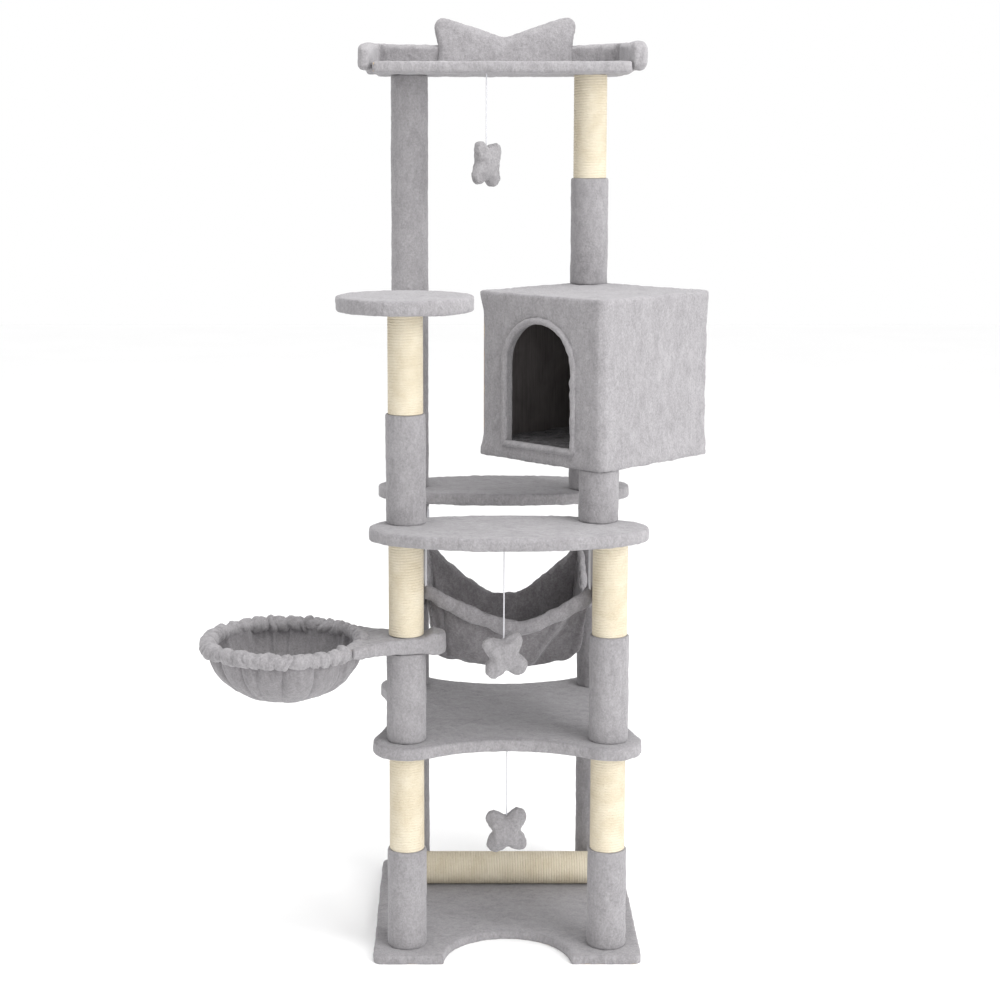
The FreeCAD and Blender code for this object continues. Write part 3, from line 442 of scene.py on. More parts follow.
def moulded_plug():
    shader = Shader("moulded_plug", Specular_IOR_Level=0.4)
    grain = shader.noise(1200, 2)
    shader.spread_roughness(grain, 0.45, 0.62)
    return shader.finish(shader.noise(60, 3),
                         [(0.3, (0.045, 0.045, 0.05)), (0.7, (0.075, 0.075, 0.082))],
                         shader.bump(grain, 0.00012, 0.5))


def felt():
    """Thin brushed felt, with the faint upright lines of its backing."""
    shader = Shader("lining_felt", Roughness=0.96, Sheen_Weight=0.2,
                    Sheen_Tint=(0.8, 0.76, 0.74, 1), Specular_IOR_Level=0.08)
    threads = shader.noise(260, 3, 0.2, vector=shader.stretched((1, 1, 0.06)))
    mixed = shader.blend((threads, 0.55), (shader.noise(14, 4, 0.8), 0.45))
    return shader.finish(mixed, [(0.33, (0.115, 0.103, 0.101)), (0.66, (0.215, 0.196, 0.194))],
                         shader.bump(mixed, 0.0008, 0.6))


def white_braid():
    shader = Shader("white_braid", Roughness=0.7, Sheen_Weight=0.15,
                    Specular_IOR_Level=0.25)
    plait = shader.wave(shader.stretched((1, 1, 1), (0.6, 0.3, 0)), 260, 1.2)
    return shader.finish(plait, [(0.2, (0.40, 0.40, 0.43)), (0.7, (0.72, 0.72, 0.75))],
                         shader.bump(plait, 0.0004, 0.7))


plush_grey = plush("plush_grey", (0.212, 0.204, 0.211), (0.266, 0.257, 0.265),
                   (0.322, 0.312, 0.322))
# plush_cloth_painted_shade is the grey plush with finer, flatter tufts and a darker colour. The
# darker colour is painted shade for the basket bag and the hem, which hang in shade.
plush_cloth_painted_shade = plush("plush_cloth_painted_shade", (0.165, 0.158, 0.164), (0.212, 0.204, 0.211),
                    (0.268, 0.258, 0.267), tuft=1.2, depth=0.7)
# plush_hammock_painted_shade is a still darker copy of the plush. Its colour is painted shade for
# the hammock, which hangs in shade.
plush_hammock_painted_shade = plush("plush_hammock_painted_shade", (0.118, 0.111, 0.116), (0.160, 0.152, 0.158),
                    (0.215, 0.206, 0.213), tuft=1.1, depth=0.8)
plush_toy = plush("plush_toy", (0.195, 0.188, 0.194), (0.248, 0.240, 0.247),
                  (0.305, 0.296, 0.304), tuft=1.0, depth=1.4)
mat_plush = plush("mat_plush", (0.010, 0.009, 0.010), (0.034, 0.031, 0.033),
                  (0.12, 0.11, 0.115), tuft=0.5, depth=3.0)
sisal_rope = sisal()
lining_felt = felt()
braid = white_braid()
slot_materials = {
    "chipboard": chipboard(), "cardboard": cardboard(), "steel": zinc(), "plug": moulded_plug(),
    "sisal": sisal_rope, "plush": plush_grey, "felt": lining_felt, "dark_plush": mat_plush,
    "cord": braid,
}
for row in frame["record"]["subparts"]:
    node = frame["nodes"][row["node"]]
    node.data.materials.clear()
    node.data.materials.append(slot_materials[row["material_slot"]])


# ---------------------------------------------------------------- camera
# The photograph's viewpoint, tilted down a little in place of most of its lens shift.
camera_data = bpy.data.cameras.new("camera")
camera = bpy.data.objects.new("camera", camera_data)
scene.collection.objects.link(camera)
CAMERA_DIP = 8.36
camera_data.lens = 71.5
camera_data.sensor_width = 36
camera_data.shift_x = 0.0425
camera_data.shift_y = -0.079
camera.location = (-0.093, -3.7585, 1.538)
camera.rotation_euler = (math.radians(90 - CAMERA_DIP), 0, 0)
scene.camera = camera

# ---------------------------------------------------------------- toy cords
CORD_DIAMETER = 2.5 * MM


def toy_cord(name):
    """A straight cord that its toy pulls tight, from the board to the toy's tab."""
    low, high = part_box(f"{name}_toy_cord")
    x, y = (low.x + high.x) / 2, (low.y + high.y) / 2
    # The flat upper end stops short of the staple, and the lower end goes into the toy's tab.
    top, foot = high.z - 0.3 * MM, low.z - 0.3 * MM
    curve = bpy.data.curves.new(f"{name}_cord_braid", "CURVE")
    curve.dimensions = "3D"
    spline = curve.splines.new("NURBS")
    steps = 4
    spline.points.add(steps - 1)
    for index, point in enumerate(spline.points):
        share = index / (steps - 1)
        point.co = (x, y, top + (foot - top) * share, 1)
    spline.order_u = 3
    spline.use_endpoint_u = True
    curve.bevel_depth = CORD_DIAMETER / 2
    curve.bevel_resolution = 4
    curve.resolution_u = 12
    curve.use_fill_caps = True
    obj = bpy.data.objects.new(f"{name}_cord_braid", curve)
    scene.collection.objects.link(obj)
    finish_piece(obj, braid, "cord", f"{name}_toy_cord", body=f"{name}_cord")


for toy in ("top", "middle", "lower"):
    toy_cord(toy)


# ---------------------------------------------------------------- posts: sleeves and wraps
def sleeve(name, x, y, foot, top, seam, node, seed):
    """Plush glued round a tube, with soft ends and the seam where its edges meet."""
    around, rows = 88, max(10, int((top - foot) / 0.0045))
    soft, inner = 3.5 * MM, TUBE_RADIUS + 0.6 * MM
    groove_depth, groove_half_angle, stitch_pitch = 1.7 * MM, 0.045, 8.5 * MM
    profile = [(inner, foot), (SLEEVE_RADIUS - soft, foot)]
    profile += [(SLEEVE_RADIUS - soft + soft * math.sin(turn), foot + soft * (1 - math.cos(turn)))
                for turn in np.linspace(0.3, math.pi / 2, 4)]
    profile += [(SLEEVE_RADIUS, height) for height in
                np.linspace(foot + soft, top - soft, rows)[1:-1]]
    profile += [(SLEEVE_RADIUS - soft + soft * math.cos(turn), top - soft * (1 - math.sin(turn)))
                for turn in np.linspace(0, math.pi / 2 - 0.3, 4)]
    profile += [(SLEEVE_RADIUS - soft, top), (inner, top)]
    points = []
    for radius, height in profile:
        for step in range(around):
            angle = 2 * math.pi * step / around
            away = (angle - seam + math.pi) % (2 * math.pi) - math.pi
            groove = groove_depth * math.exp(-(away / groove_half_angle) ** 2)
            stitch = 0.5 + 0.5 * math.sin(height / stitch_pitch * 2 * math.pi)
            reach = radius - groove * (0.7 + 0.3 * stitch)
            points.append((x + reach * math.cos(angle), y + reach * math.sin(angle), height))
    obj = outward(add_mesh(name, points, grid_faces(len(profile), around, wrap_rows=True,
                                                    wrap_columns=True)))
    ruffle(obj, [(0.045, 0.0006), (0.012, 0.0005), (0.0055, 0.0004)], seed)
    return finish_piece(obj, plush_grey, "plush", node)


ROPE_PITCH = 5.2 * MM
ROPE_RISE = 1.5 * MM


def wrap(name, start, axis, length, node, seed):
    """Rope wound in a tight helix; start is one end's centre and axis the way it runs."""
    around, per_turn = 72, 7
    rows = int(length / ROPE_PITCH * per_turn) + 1
    axis = np.array(axis, float)
    side = np.array((0, 1, 0) if abs(axis[0]) > 0.5 else (1, 0, 0), float)
    up = np.cross(axis, side)
    angles = np.linspace(0, 2 * math.pi, around, endpoint=False)
    lengths = np.linspace(0, length, rows)
    turn, along = np.meshgrid(angles, lengths)
    drift = 0.12 * np.sin(turn + seed) + 0.05 * np.sin(3 * turn + 2 * seed)
    phase = along / ROPE_PITCH - turn / (2 * math.pi) + drift * np.sin(along / 0.06 + seed)
    across = 2 * (phase - np.floor(phase)) - 1
    radius = SISAL_RADIUS - ROPE_RISE + ROPE_RISE * np.sqrt(1 - 0.96 * across ** 2)
    rounding = 1.2 * MM
    end = np.clip(np.minimum(along, length - along) / rounding, 0, 1)
    radius -= (1 - end) * rounding
    points = (np.array(start, float) + along[..., None] * axis
              + (radius * np.cos(turn))[..., None] * side
              + (radius * np.sin(turn))[..., None] * up)
    inner = TUBE_RADIUS + 0.5 * MM
    rings = [np.array(start, float) + reach * axis + inner * (
        np.cos(angles)[:, None] * side + np.sin(angles)[:, None] * up)
        for reach in (0, length)]
    stacked = np.vstack([rings[0], points.reshape(-1, 3), rings[1]])
    obj = outward(add_mesh(name, stacked, grid_faces(rows + 2, around, wrap_rows=True,
                                                     wrap_columns=True)))
    # U runs round the tube and V along it; faces that close the ring end a full turn on.
    layer = obj.data.uv_layers.new(name="wrap")
    index = np.empty(len(obj.data.loops), np.int64)
    obj.data.loops.foreach_get("vertex_index", index)
    row = np.clip(index // around, 1, rows) - 1
    column = index % around
    spans = np.empty(len(obj.data.polygons), np.int64)
    obj.data.polygons.foreach_get("loop_start", spans)
    last = np.zeros(len(index), bool)
    for begin in spans:
        corner = column[begin:begin + 4]
        if corner.max() - corner.min() > around / 2:
            last[begin:begin + 4] = corner < around / 2
    girth = angles[column] + 2 * math.pi * last
    layer.data.foreach_set("uv", np.column_stack([girth * SISAL_RADIUS,
                                                  lengths[row]]).ravel())
    return finish_piece(obj, sisal_rope, "sisal", node)


LEFT, RIGHT = -POST_REACH, POST_REACH
FRONT, REAR = -POST_REACH, POST_REACH
FACING_SIDE, FACING_BACK, FACING_FRONT_RIGHT = 0.0, math.pi / 2, -0.95


def span(node):
    low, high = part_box(node)
    return low.z, high.z


SLEEVES = [
    ("lower_front_left_plush", LEFT, FRONT, "lower_front_sleeves", FACING_BACK),
    ("lower_front_right_plush", RIGHT, FRONT, "lower_front_sleeves", FACING_BACK),
    ("lower_rear_left_plush", LEFT, REAR, "lower_rear_sleeves", FACING_BACK),
    ("lower_rear_right_plush", RIGHT, REAR, "lower_rear_sleeves", FACING_BACK),
    ("middle_rear_left_plush", LEFT, REAR, "middle_rear_sleeves", FACING_BACK),
    ("middle_rear_right_plush", RIGHT, REAR, "middle_rear_sleeves", FACING_BACK),
    ("basket_post_plush", LEFT, FRONT, "basket_post_sleeve", FACING_BACK),
    ("middle_right_plush", RIGHT, FRONT, "middle_right_sleeve", FACING_FRONT_RIGHT),
    ("perch_post_plush", LEFT, FRONT, "perch_post_sleeve", FACING_BACK),
    ("tall_post_plush", LEFT, REAR, "tall_post_sleeve", FACING_SIDE),
    ("house_front_post_plush", UPPER_RIGHT, -UPPER_RIGHT, "house_post_sleeves", FACING_BACK),
    ("house_rear_post_plush", UPPER_RIGHT, UPPER_RIGHT, "house_post_sleeves", FACING_BACK),
    ("roof_post_plush", UPPER_RIGHT, UPPER_RIGHT, "roof_post_sleeve", FACING_BACK),
]
for count, (name, x, y, node, seam) in enumerate(SLEEVES):
    foot, top = span(node)
    sleeve(name, x, y, foot, top, seam, node, 100 + 10 * count)

WRAPS = [
    ("lower_left_rope", LEFT, FRONT, "lower_sisal_wraps"),
    ("lower_right_rope", RIGHT, FRONT, "lower_sisal_wraps"),
    ("basket_post_rope", LEFT, FRONT, "basket_post_sisal"),
    ("middle_right_rope", RIGHT, FRONT, "middle_right_sisal"),
    ("perch_post_rope", LEFT, FRONT, "perch_post_sisal"),
    ("roof_post_rope", UPPER_RIGHT, UPPER_RIGHT, "roof_post_sisal"),
]
for count, (name, x, y, node) in enumerate(WRAPS):
    foot, top = span(node)
    wrap(name, (x, y, foot), (0, 0, 1), top - foot, node, count)
bar_low, bar_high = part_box("crossbar_sisal")
wrap("crossbar_rope", (bar_low.x, (bar_low.y + bar_high.y) / 2, (bar_low.z + bar_high.z) / 2),
     (1, 0, 0), bar_high.x - bar_low.x, "crossbar_sisal", 9)


# ---------------------------------------------------------------- plush-covered boards
def base_outline():
    """Rounded square with a half-round notch in its front edge."""
    corner, notch, lip = 16 * MM, 118 * MM, 6 * MM
    left, right, front, rear = base_low.x, base_high.x, base_low.y, base_high.y
    lip_x = math.sqrt((notch + lip) ** 2 - lip ** 2)
    touch = math.degrees(math.asin(lip / (notch + lip)))
    points = arc((left + corner, front + corner), corner, 180, 270, 6)
    points += arc((-lip_x, front + lip), lip, -90, touch, 5)
    points += arc((0, front), notch, 180 - touch, touch, 40)
    points += arc((lip_x, front + lip), lip, 180 - touch, 270, 5)
    points += arc((right - corner, front + corner), corner, 270, 360, 6)
    points += arc((right - corner, rear - corner), corner, 0, 90, 6)
    points += arc((left + corner, rear - corner), corner, 90, 180, 6)
    return points


def lobed_outline():
    """A round lobe at each post, joined by hollows that are tangent to the lobes."""
    lobe, points = 62.5 * MM, []

    def hollow(dip):
        """The hollow's radius, the distance to its centre and half its angle."""
        edge = lobe - dip
        radius = (POST_REACH ** 2 + edge ** 2 - lobe ** 2) / (2 * dip)
        centre = POST_REACH + edge + radius
        return radius, centre, math.degrees(math.atan2(POST_REACH, centre - POST_REACH))

    deep, shallow = hollow(58 * MM), hollow(30 * MM)
    for quarter in range(4):
        turn = math.radians(90 * quarter)
        (radius, centre, half), following = (deep, shallow) if quarter % 2 == 0 else (shallow, deep)
        local = arc((0, -centre), radius, 90 + half, 90 - half, 30)
        local += arc((POST_REACH, -POST_REACH), lobe, -90 - half, following[2], 34)[1:-1]
        points += [(x * math.cos(turn) - y * math.sin(turn),
                    x * math.sin(turn) + y * math.cos(turn)) for x, y in local]
    return points


def oval_outline(low, high, fullness=2.12):
    """An oval slightly fuller than an ellipse."""
    centre, half = (low + high) / 2, (high - low) / 2
    points = []
    for turn in np.linspace(0, 2 * math.pi, 120, endpoint=False):
        cosine, sine = math.cos(turn), math.sin(turn)
        points.append((centre.x + half.x * math.copysign(abs(cosine) ** (2 / fullness), cosine),
                       centre.y + half.y * math.copysign(abs(sine) ** (2 / fullness), sine)))
    return points


def box_outline(low, high, corner):
    points = []
    left, right, front, rear = low.x + corner, high.x - corner, low.y + corner, high.y - corner
    for x, y, start in ((left, front, 180), (right, front, 270),
                        (right, rear, 0), (left, rear, 90)):
        points += arc((x, y), corner, start, start + 90, 6)
    return points


def covered_board(name, outline, low, high, node, seed):
    """Plush stretched over a board; nothing of it goes below the base's underside."""
    obj = remeshed(prism(name, outline, low.z, high.z), 4.0 * MM, smoothing=6)
    ruffle(obj, PILE, seed)
    keep_outside(obj, 2.2 * MM, node.replace("_cover", "_board"))
    points = coordinates(obj)
    points[:, 2] = np.maximum(points[:, 2], base_low.z)
    set_coordinates(obj, points)
    return finish_piece(obj, plush_grey, "plush", node)


covered_board("base_plush", base_outline(), base_low, base_high, "base_cover", 300)
covered_board("lower_platform_plush", lobed_outline(), platform_low, platform_high,
              "lower_platform_cover", 310)
covered_board("front_step_plush", oval_outline(front_low, front_high), front_low, front_high,
              "front_step_cover", 320)
covered_board("rear_step_plush", oval_outline(rear_low, rear_high), rear_low, rear_high,
              "rear_step_cover", 330)
covered_board("perch_plush", oval_outline(perch_low, perch_high, 2.0), perch_low, perch_high,
              "perch_cover", 340)
covered_board("top_platform_plush", box_outline(top_low, top_high, 12 * MM), top_low, top_high,
              "top_platform_cover", 350)

# ---------------------------------------------------------------- house
# The house is modelled square to its own axes, door towards -Y, and turned into place.
house_height = house_high.z - house_low.z
house_matrix = Matrix.Translation((UPPER_RIGHT, 0, house_low.z)) @ Matrix.Rotation(
    math.radians(-45), 4, "Z")
PLATE_HALF, WALL_HALF, ROOM_HALF = 158 * MM, 155 * MM, 141 * MM
PLATE = 15 * MM
DOOR_HALF, DOOR_SILL, DOOR_SPRING = 82.5 * MM, 33 * MM, 179.5 * MM


def rounded_square(half, corner):
    points = []
    for x, y, start in ((-1, -1, 180), (1, -1, 270), (1, 1, 0), (-1, 1, 90)):
        points += arc((x * (half - corner), y * (half - corner)), corner, start, start + 90, 9)
    return points


def block(name, half, bottom, top):
    return prism(name, [(-half, -half), (half, -half), (half, half), (-half, half)], bottom, top)


def arch_points(margin, count=24):
    """The door's outline in local X and Z, from the left foot over the top to the right foot."""
    half, sill = DOOR_HALF + margin, DOOR_SILL - margin
    return [(-half, sill)] + arc((0, DOOR_SPRING), half, 180, 0, count) + [(half, sill)]


def cut_away(obj, tool):
    modifier = obj.modifiers.new("Boolean", "BOOLEAN")
    modifier.operation = "DIFFERENCE"
    modifier.solver = "EXACT"
    modifier.object = tool
    apply_modifiers(obj)
    bpy.data.objects.remove(tool)


def house_shell():
    """Plush stretched over the box: round edges, drawn in where the door's left side pulls."""
    shell = prism("house_plush", rounded_square(PLATE_HALF, 17 * MM), 0, house_height)
    cut_away(shell, block("room", ROOM_HALF, PLATE + 1 * MM, house_height - PLATE - 1 * MM))
    cut_away(shell, upright_prism("door_tool", arch_points(3 * MM), -PLATE_HALF - 20 * MM,
                                  -ROOM_HALF + 10 * MM))
    remeshed(shell, 4.0 * MM, smoothing=7)
    points = coordinates(shell)
    height = np.clip(points[:, 2] / house_height, 0, 1)
    waist = np.clip(np.minimum(height, 1 - height) / 0.17, 0, 1)
    waist = waist * waist * (3 - 2 * waist)
    across = points[:, :2] / PLATE_HALF
    # Full at the right corner and drawn in most at the corner left of the door.
    left = np.clip((1 - across[:, 0]) / 2, 0, 1) ** 1.5
    front = np.clip((1 - across[:, 1]) / 2, 0, 1) ** 1.5
    pull = (1.8 + 5.5 * left * front) * MM * waist
    outer = np.abs(across).max(axis=1) > 0.94
    for axis in (0, 1):
        near = np.clip((np.abs(across[:, axis]) - 0.90) / 0.05, 0, 1) * outer
        loose = 1.3 * MM * lumps(points, 0.10, 61 + axis) * waist
        points[:, axis] -= np.sign(points[:, axis]) * near * (pull - loose)
    roof = points[:, 2] > house_height - 8 * MM
    sag = np.prod(np.cos(np.clip(across, -1, 1) * math.pi / 2), axis=1)
    points[:, 2] -= np.where(roof, 1.0 * MM * sag, 0)
    set_coordinates(shell, points)
    ruffle(shell, PILE, 400)
    shell.data.transform(house_matrix)
    keep_outside(shell, 1.8 * MM, "house_floor_board", "house_roof_board", "house_door_panel",
                 "house_wall_panels")
    return finish_piece(shell, plush_grey, "plush", "house_cover")


def door_piping():
    """A rolled plush edge round the door, puckered by its stitches."""
    gap = 4 * MM
    outline = arch_points(gap, 70)
    foot = [(x, DOOR_SILL - gap) for x in
            np.linspace(DOOR_HALF + gap, -DOOR_HALF - gap, 36)[1:-1]]
    left = [(-DOOR_HALF - gap, z) for z in np.linspace(DOOR_SILL - gap, DOOR_SPRING, 32)[1:-1]]
    right = [(-x, z) for x, z in reversed(left)]
    path = outline[:1] + left + outline[1:-1] + right + outline[-1:] + foot
    route = [(x, -WALL_HALF - 0.5 * MM, z) for x, z in path]
    rng = np.random.default_rng(5)
    swell = 0.09 * np.convolve(rng.standard_normal(len(route)), np.ones(3) / 3, "same")
    radii = 6.4 * MM * (1 + swell)
    obj = sweep("door_piping_plush", route, radii, sides=14, closed=True,
                wobble=lambda index, angle: 0.05 * math.sin(2 * angle + index * 1.3))
    ruffle(obj, [(0.009, 0.0007), (0.005, 0.0005)], 410)
    obj.data.transform(house_matrix)
    return finish_piece(obj, plush_grey, "plush", "door_piping")


def door_collar():
    """Plush carried back through the door to the lining, over the edge of the panel."""
    gap = 1.9 * MM
    foot = [(x, DOOR_SILL - gap) for x in np.linspace(DOOR_HALF + gap, -DOOR_HALF - gap, 40)]
    left, right = ([(side * (DOOR_HALF + gap), z) for z in
                    np.linspace(DOOR_SILL - gap, DOOR_SPRING, 36)[1:-1]] for side in (-1, 1))
    path = left + arch_points(gap, 80)[1:-1] + right[::-1] + foot
    rows = np.linspace(-WALL_HALF - 2 * MM, -ROOM_HALF + 3 * MM, 10)
    points = np.array([(x, y, z) for y in rows for x, z in path])
    obj = add_mesh("door_collar_plush", points, grid_faces(len(rows), len(path),
                                                           wrap_columns=True))
    thickened(obj, 3.4 * MM)
    ruffle(obj, [(0.010, 0.0005), (0.005, 0.0004)], 415)
    obj.data.transform(house_matrix)
    return finish_piece(obj, plush_grey, "plush", "door_piping")


def house_lining():
    """Felt glued inside the walls and ceiling, open at the floor and at the door."""
    half = ROOM_HALF - 3.2 * MM
    foot, ceiling = PLATE + 1 * MM, house_height - PLATE - 2.5 * MM
    steps = 46
    shares = [step / steps for step in range(steps + 1)]
    corners = [(-half, -half), (half, -half), (half, half), (-half, half)]
    panels = [[(start[0] + (end[0] - start[0]) * share, start[1] + (end[1] - start[1]) * share,
                foot + (ceiling - foot) * rise) for rise in shares for share in shares]
              for start, end in zip(corners, corners[1:] + corners[:1])]
    panels.append([(-half + 2 * half * across, -half + 2 * half * deep, ceiling)
                   for across in shares for deep in shares])
    faces = [tuple(count * (steps + 1) ** 2 + index for index in face)
             for count in range(len(panels)) for face in grid_faces(steps + 1, steps + 1)]
    obj = add_mesh("house_felt", sum(panels, []), faces)
    work = bmesh.new()
    work.from_mesh(obj.data)
    bmesh.ops.remove_doubles(work, verts=work.verts, dist=0.0002)
    opening, clear = [], DOOR_HALF + 6 * MM
    for face in work.faces:
        centre = face.calc_center_median()
        if centre.y > -half + 1 * MM:
            continue
        below = abs(centre.x) < clear and DOOR_SILL - 6 * MM < centre.z < DOOR_SPRING
        round_top = math.hypot(centre.x, centre.z - DOOR_SPRING) < clear
        if below or (round_top and centre.z >= DOOR_SPRING):
            opening.append(face)
    bmesh.ops.delete(work, geom=opening, context="FACES")
    work.to_mesh(obj.data)
    work.free()
    points = coordinates(obj)
    inward = -points.copy()
    inward[:, 2] = 0
    inward /= np.maximum(np.linalg.norm(inward, axis=1), 1e-6)[:, None]
    waves = 0.9 * MM * (1 + lumps(points * (1, 1, 0.35), 0.035, 71))
    set_coordinates(obj, points + inward * waves[:, None])
    thickened(obj, 1.4 * MM)
    obj.data.transform(house_matrix)
    return finish_piece(obj, lining_felt, "felt", "house_lining")


house_shell()
door_piping()
door_collar()
house_lining()


# ---------------------------------------------------------------- stuffed pieces
def stuffed(obj, pressure, cap, voxel=5 * MM):
    """Inflate a closed shape as sewn fabric, then keep each point within cap of its start."""
    remeshed(obj, voxel, smoothing=3)
    simulated(obj, 16, lambda distance: np.minimum(1, cap / distance), gravity=0,
              quality=6, mass=0.2, tension_stiffness=12, compression_stiffness=12,
              shear_stiffness=4, bending_stiffness=0.4, use_pressure=True,
              uniform_pressure_force=pressure)
    return subdivided(obj)


def top_bolster():
    """A padded wall round the rear and sides; its two front ends are round and a little lower."""
    inset, roll = 3 * MM, 26 * MM
    low, high = bolster_low, bolster_high
    outer = arc((low.x + roll, high.y - roll), roll - inset, 180, 90, 8)
    outer += arc((high.x - roll, high.y - roll), roll - inset, 90, 0, 8)
    front = low.y + inset
    outline = [(low.x + inset, front)] + outer + [(high.x - inset, front)]
    outline += [(high.x - roll + inset, front), (high.x - roll + inset, high.y - roll + inset),
                (low.x + roll - inset, high.y - roll + inset), (low.x + roll - inset, front)]
    obj = stuffed(prism("top_bolster_plush", outline, low.z + inset, high.z - inset), 3.0, 6 * MM)
    points = coordinates(obj)
    # Each end is turned to a half round, and slopes down to it from the rear.
    run = np.clip((points[:, 1] - low.y) / (34 * MM), 0, 1)
    ahead = 1 - np.sqrt(np.clip(1 - (1 - run) ** 2, 0, 1))
    middle = low.z + 0.42 * (high.z - low.z)
    slope = np.clip(1 - (points[:, 1] - low.y) / (200 * MM), 0, 1) ** 2
    lower = np.where(points[:, 0] < top_low.x + 60 * MM, 20 * MM, 12 * MM)
    rise = points[:, 2] - low.z
    points[:, 2] -= slope * lower * np.clip(rise / (high.z - low.z), 0, 1)
    points[:, 2] += (middle - points[:, 2]) * ahead * 0.75
    set_coordinates(obj, points)
    ruffle(obj, [(0.060, 0.0018)] + PILE, 500)
    keep_outside(obj, 2.0 * MM, "top_platform_board")
    finish_piece(obj, plush_grey, "plush", "top_bolster")


def crest_outline(inset):
    """The bow: two round wings that slope in straight lines to a dip between them."""
    half = (crest_high.x - crest_low.x) / 2 - inset
    tall = crest_high.z - crest_low.z - inset
    lobe = 23 * MM
    wing = [(half - 10 * MM, 0), (half - 9 * MM, tall * 0.45), (half - 6 * MM, tall * 0.62)]
    wing += arc((half - lobe, tall - lobe), lobe, -18, 78, 12)
    start, dip = wing[-1], (0, tall - 34 * MM)
    for share in np.linspace(0, 1, 12)[1:]:
        bow = 3.5 * MM * math.sin(math.pi * share)
        wing.append((start[0] + (dip[0] - start[0]) * share,
                     start[1] + (dip[1] - start[1]) * share + bow))
    return wing + [(-x, z) for x, z in reversed(wing[:-1])]


def top_crest():
    inset = 3 * MM
    outline = crest_outline(inset)
    centre = (crest_low.x + crest_high.x) / 2
    obj = upright_prism("top_crest_plush", [(centre + x, crest_low.z + z) for x, z in outline],
                        crest_low.y + inset, crest_high.y - inset)
    stuffed(obj, 3.0, 6 * MM)
    points = coordinates(obj)
    # The crest's front leans out over the rear of the bolster, most at its foot.
    near = np.clip(((crest_low.y + crest_high.y) / 2 - points[:, 1]) / (6 * MM), 0, 1)
    over = np.interp(points[:, 2], [bolster_low.z + 10 * MM, bolster_low.z + 22 * MM,
                                    crest_high.z], [0, 1, 0.45])
    step = crest_low.y + inset - (bolster_high.y - 26 * MM) + 16 * MM
    points[:, 1] -= near * over * step
    set_coordinates(obj, points)
    ruffle(obj, [(0.05, 0.0015)] + PILE, 520)
    finish_piece(obj, plush_grey, "plush", "top_crest")


def house_mat():
    """A loose square mat with a shaggy top."""
    half, foot, tall = 135 * MM, PLATE + 0.5 * MM, 17 * MM
    obj = block("house_mat_plush", half, foot, foot + tall)
    remeshed(obj, 4.5 * MM, smoothing=8)
    ruffle(obj, [(0.05, 0.0020), (0.016, 0.0016), (0.007, 0.0014)], 540)
    points = coordinates(obj)
    points[:, 2] = np.maximum(points[:, 2], foot)
    set_coordinates(obj, points)
    obj.data.transform(house_matrix)
    finish_piece(obj, mat_plush, "dark_plush", "house_mat")


top_bolster()
top_crest()
house_mat()

# ---------------------------------------------------------------- hanging toys

def toy_body():
    """Four soft corners blown up like a small cushion, thickest in the middle."""
    outline = []
    for turn in np.linspace(0, 2 * math.pi, 150, endpoint=False):
        reach = (32 + 18 * abs(math.sin(2 * turn)) ** 1.8) * MM
        outline.append((0.98 * reach * math.cos(turn), 1.05 * reach * math.sin(turn)))
    half = 7 * MM
    obj = stuffed(upright_prism("toy_pattern", outline, -half, half), 4.0, 7 * MM,
                  voxel=3.2 * MM)
    points = coordinates(obj)
    across = np.hypot(points[:, 0], points[:, 2])
    points[:, 1] *= 1 + 0.35 * np.exp(-(across / (24 * MM)) ** 2)
    set_coordinates(obj, points)
    return obj


toy_pattern = toy_body()
# Each toy hangs turned a little differently on its cord: turn about the cord, lean in its plane.
TOYS = [("top", 54, 6), ("middle", 14, -9), ("lower", -6, -5)]
for count, (name, turn, lean) in enumerate(TOYS):
    low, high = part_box(f"{name}_toy")
    centre = (low + high) / 2
    obj = toy_pattern.copy()
    obj.data = toy_pattern.data.copy()
    obj.name = f"{name}_toy_plush"
    scene.collection.objects.link(obj)
    obj.data.transform(Matrix.Translation(centre) @ Matrix.Rotation(math.radians(turn), 4, "Z")
                       @ Matrix.Rotation(math.radians(lean), 4, "Y"))
    ruffle(obj, [(0.034, 0.0030), (0.014, 0.0016), (0.0065, 0.0010)], 600 + 10 * count)
    finish_piece(obj, plush_toy, "plush", f"{name}_toy", body=f"{name}_toy")
    tab_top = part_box(f"{name}_toy_cord")[0].z
    tab = sweep(f"{name}_toy_tab", [(centre.x, centre.y, centre.z + 20 * MM + 2 * MM * step)
                                    for step in range(4)]
                + [(centre.x, centre.y, tab_top + 0.2 * MM)],
                np.array([2.4, 2.2, 2.5, 2.8, 2.0]) * MM, sides=12)
    finish_piece(tab, braid, "cord", body=f"{name}_toy")
bpy.data.objects.remove(toy_pattern)


# ---------------------------------------------------------------- basket
basket_x = (bowl_low.x + bowl_high.x) / 2
basket_y = (bowl_low.y + bowl_high.y) / 2
rim_z = (ring_low.z + ring_high.z) / 2
RIM_MID, RIM_HALF = 142.5 * MM, 16.5 * MM


def puffs(angle, count, seed, low, high):
    """Soft puffs round a ring with a sharp crease between each and the next: 0 at a crease."""
    rng = np.random.default_rng(seed)
    places = (np.arange(count) + rng.uniform(-0.36, 0.36, count)) * 2 * math.pi / count
    sizes = rng.uniform(low, high, count)
    turned = (angle - places[0]) % (2 * math.pi)
    edges = np.append(places - places[0], 2 * math.pi)
    slot = np.clip(np.searchsorted(edges, turned, "right") - 1, 0, count - 1)
    share = (turned - edges[slot]) / (edges[slot + 1] - edges[slot])
    return sizes[slot] * (1 - np.abs(2 * share - 1) ** 3.2)


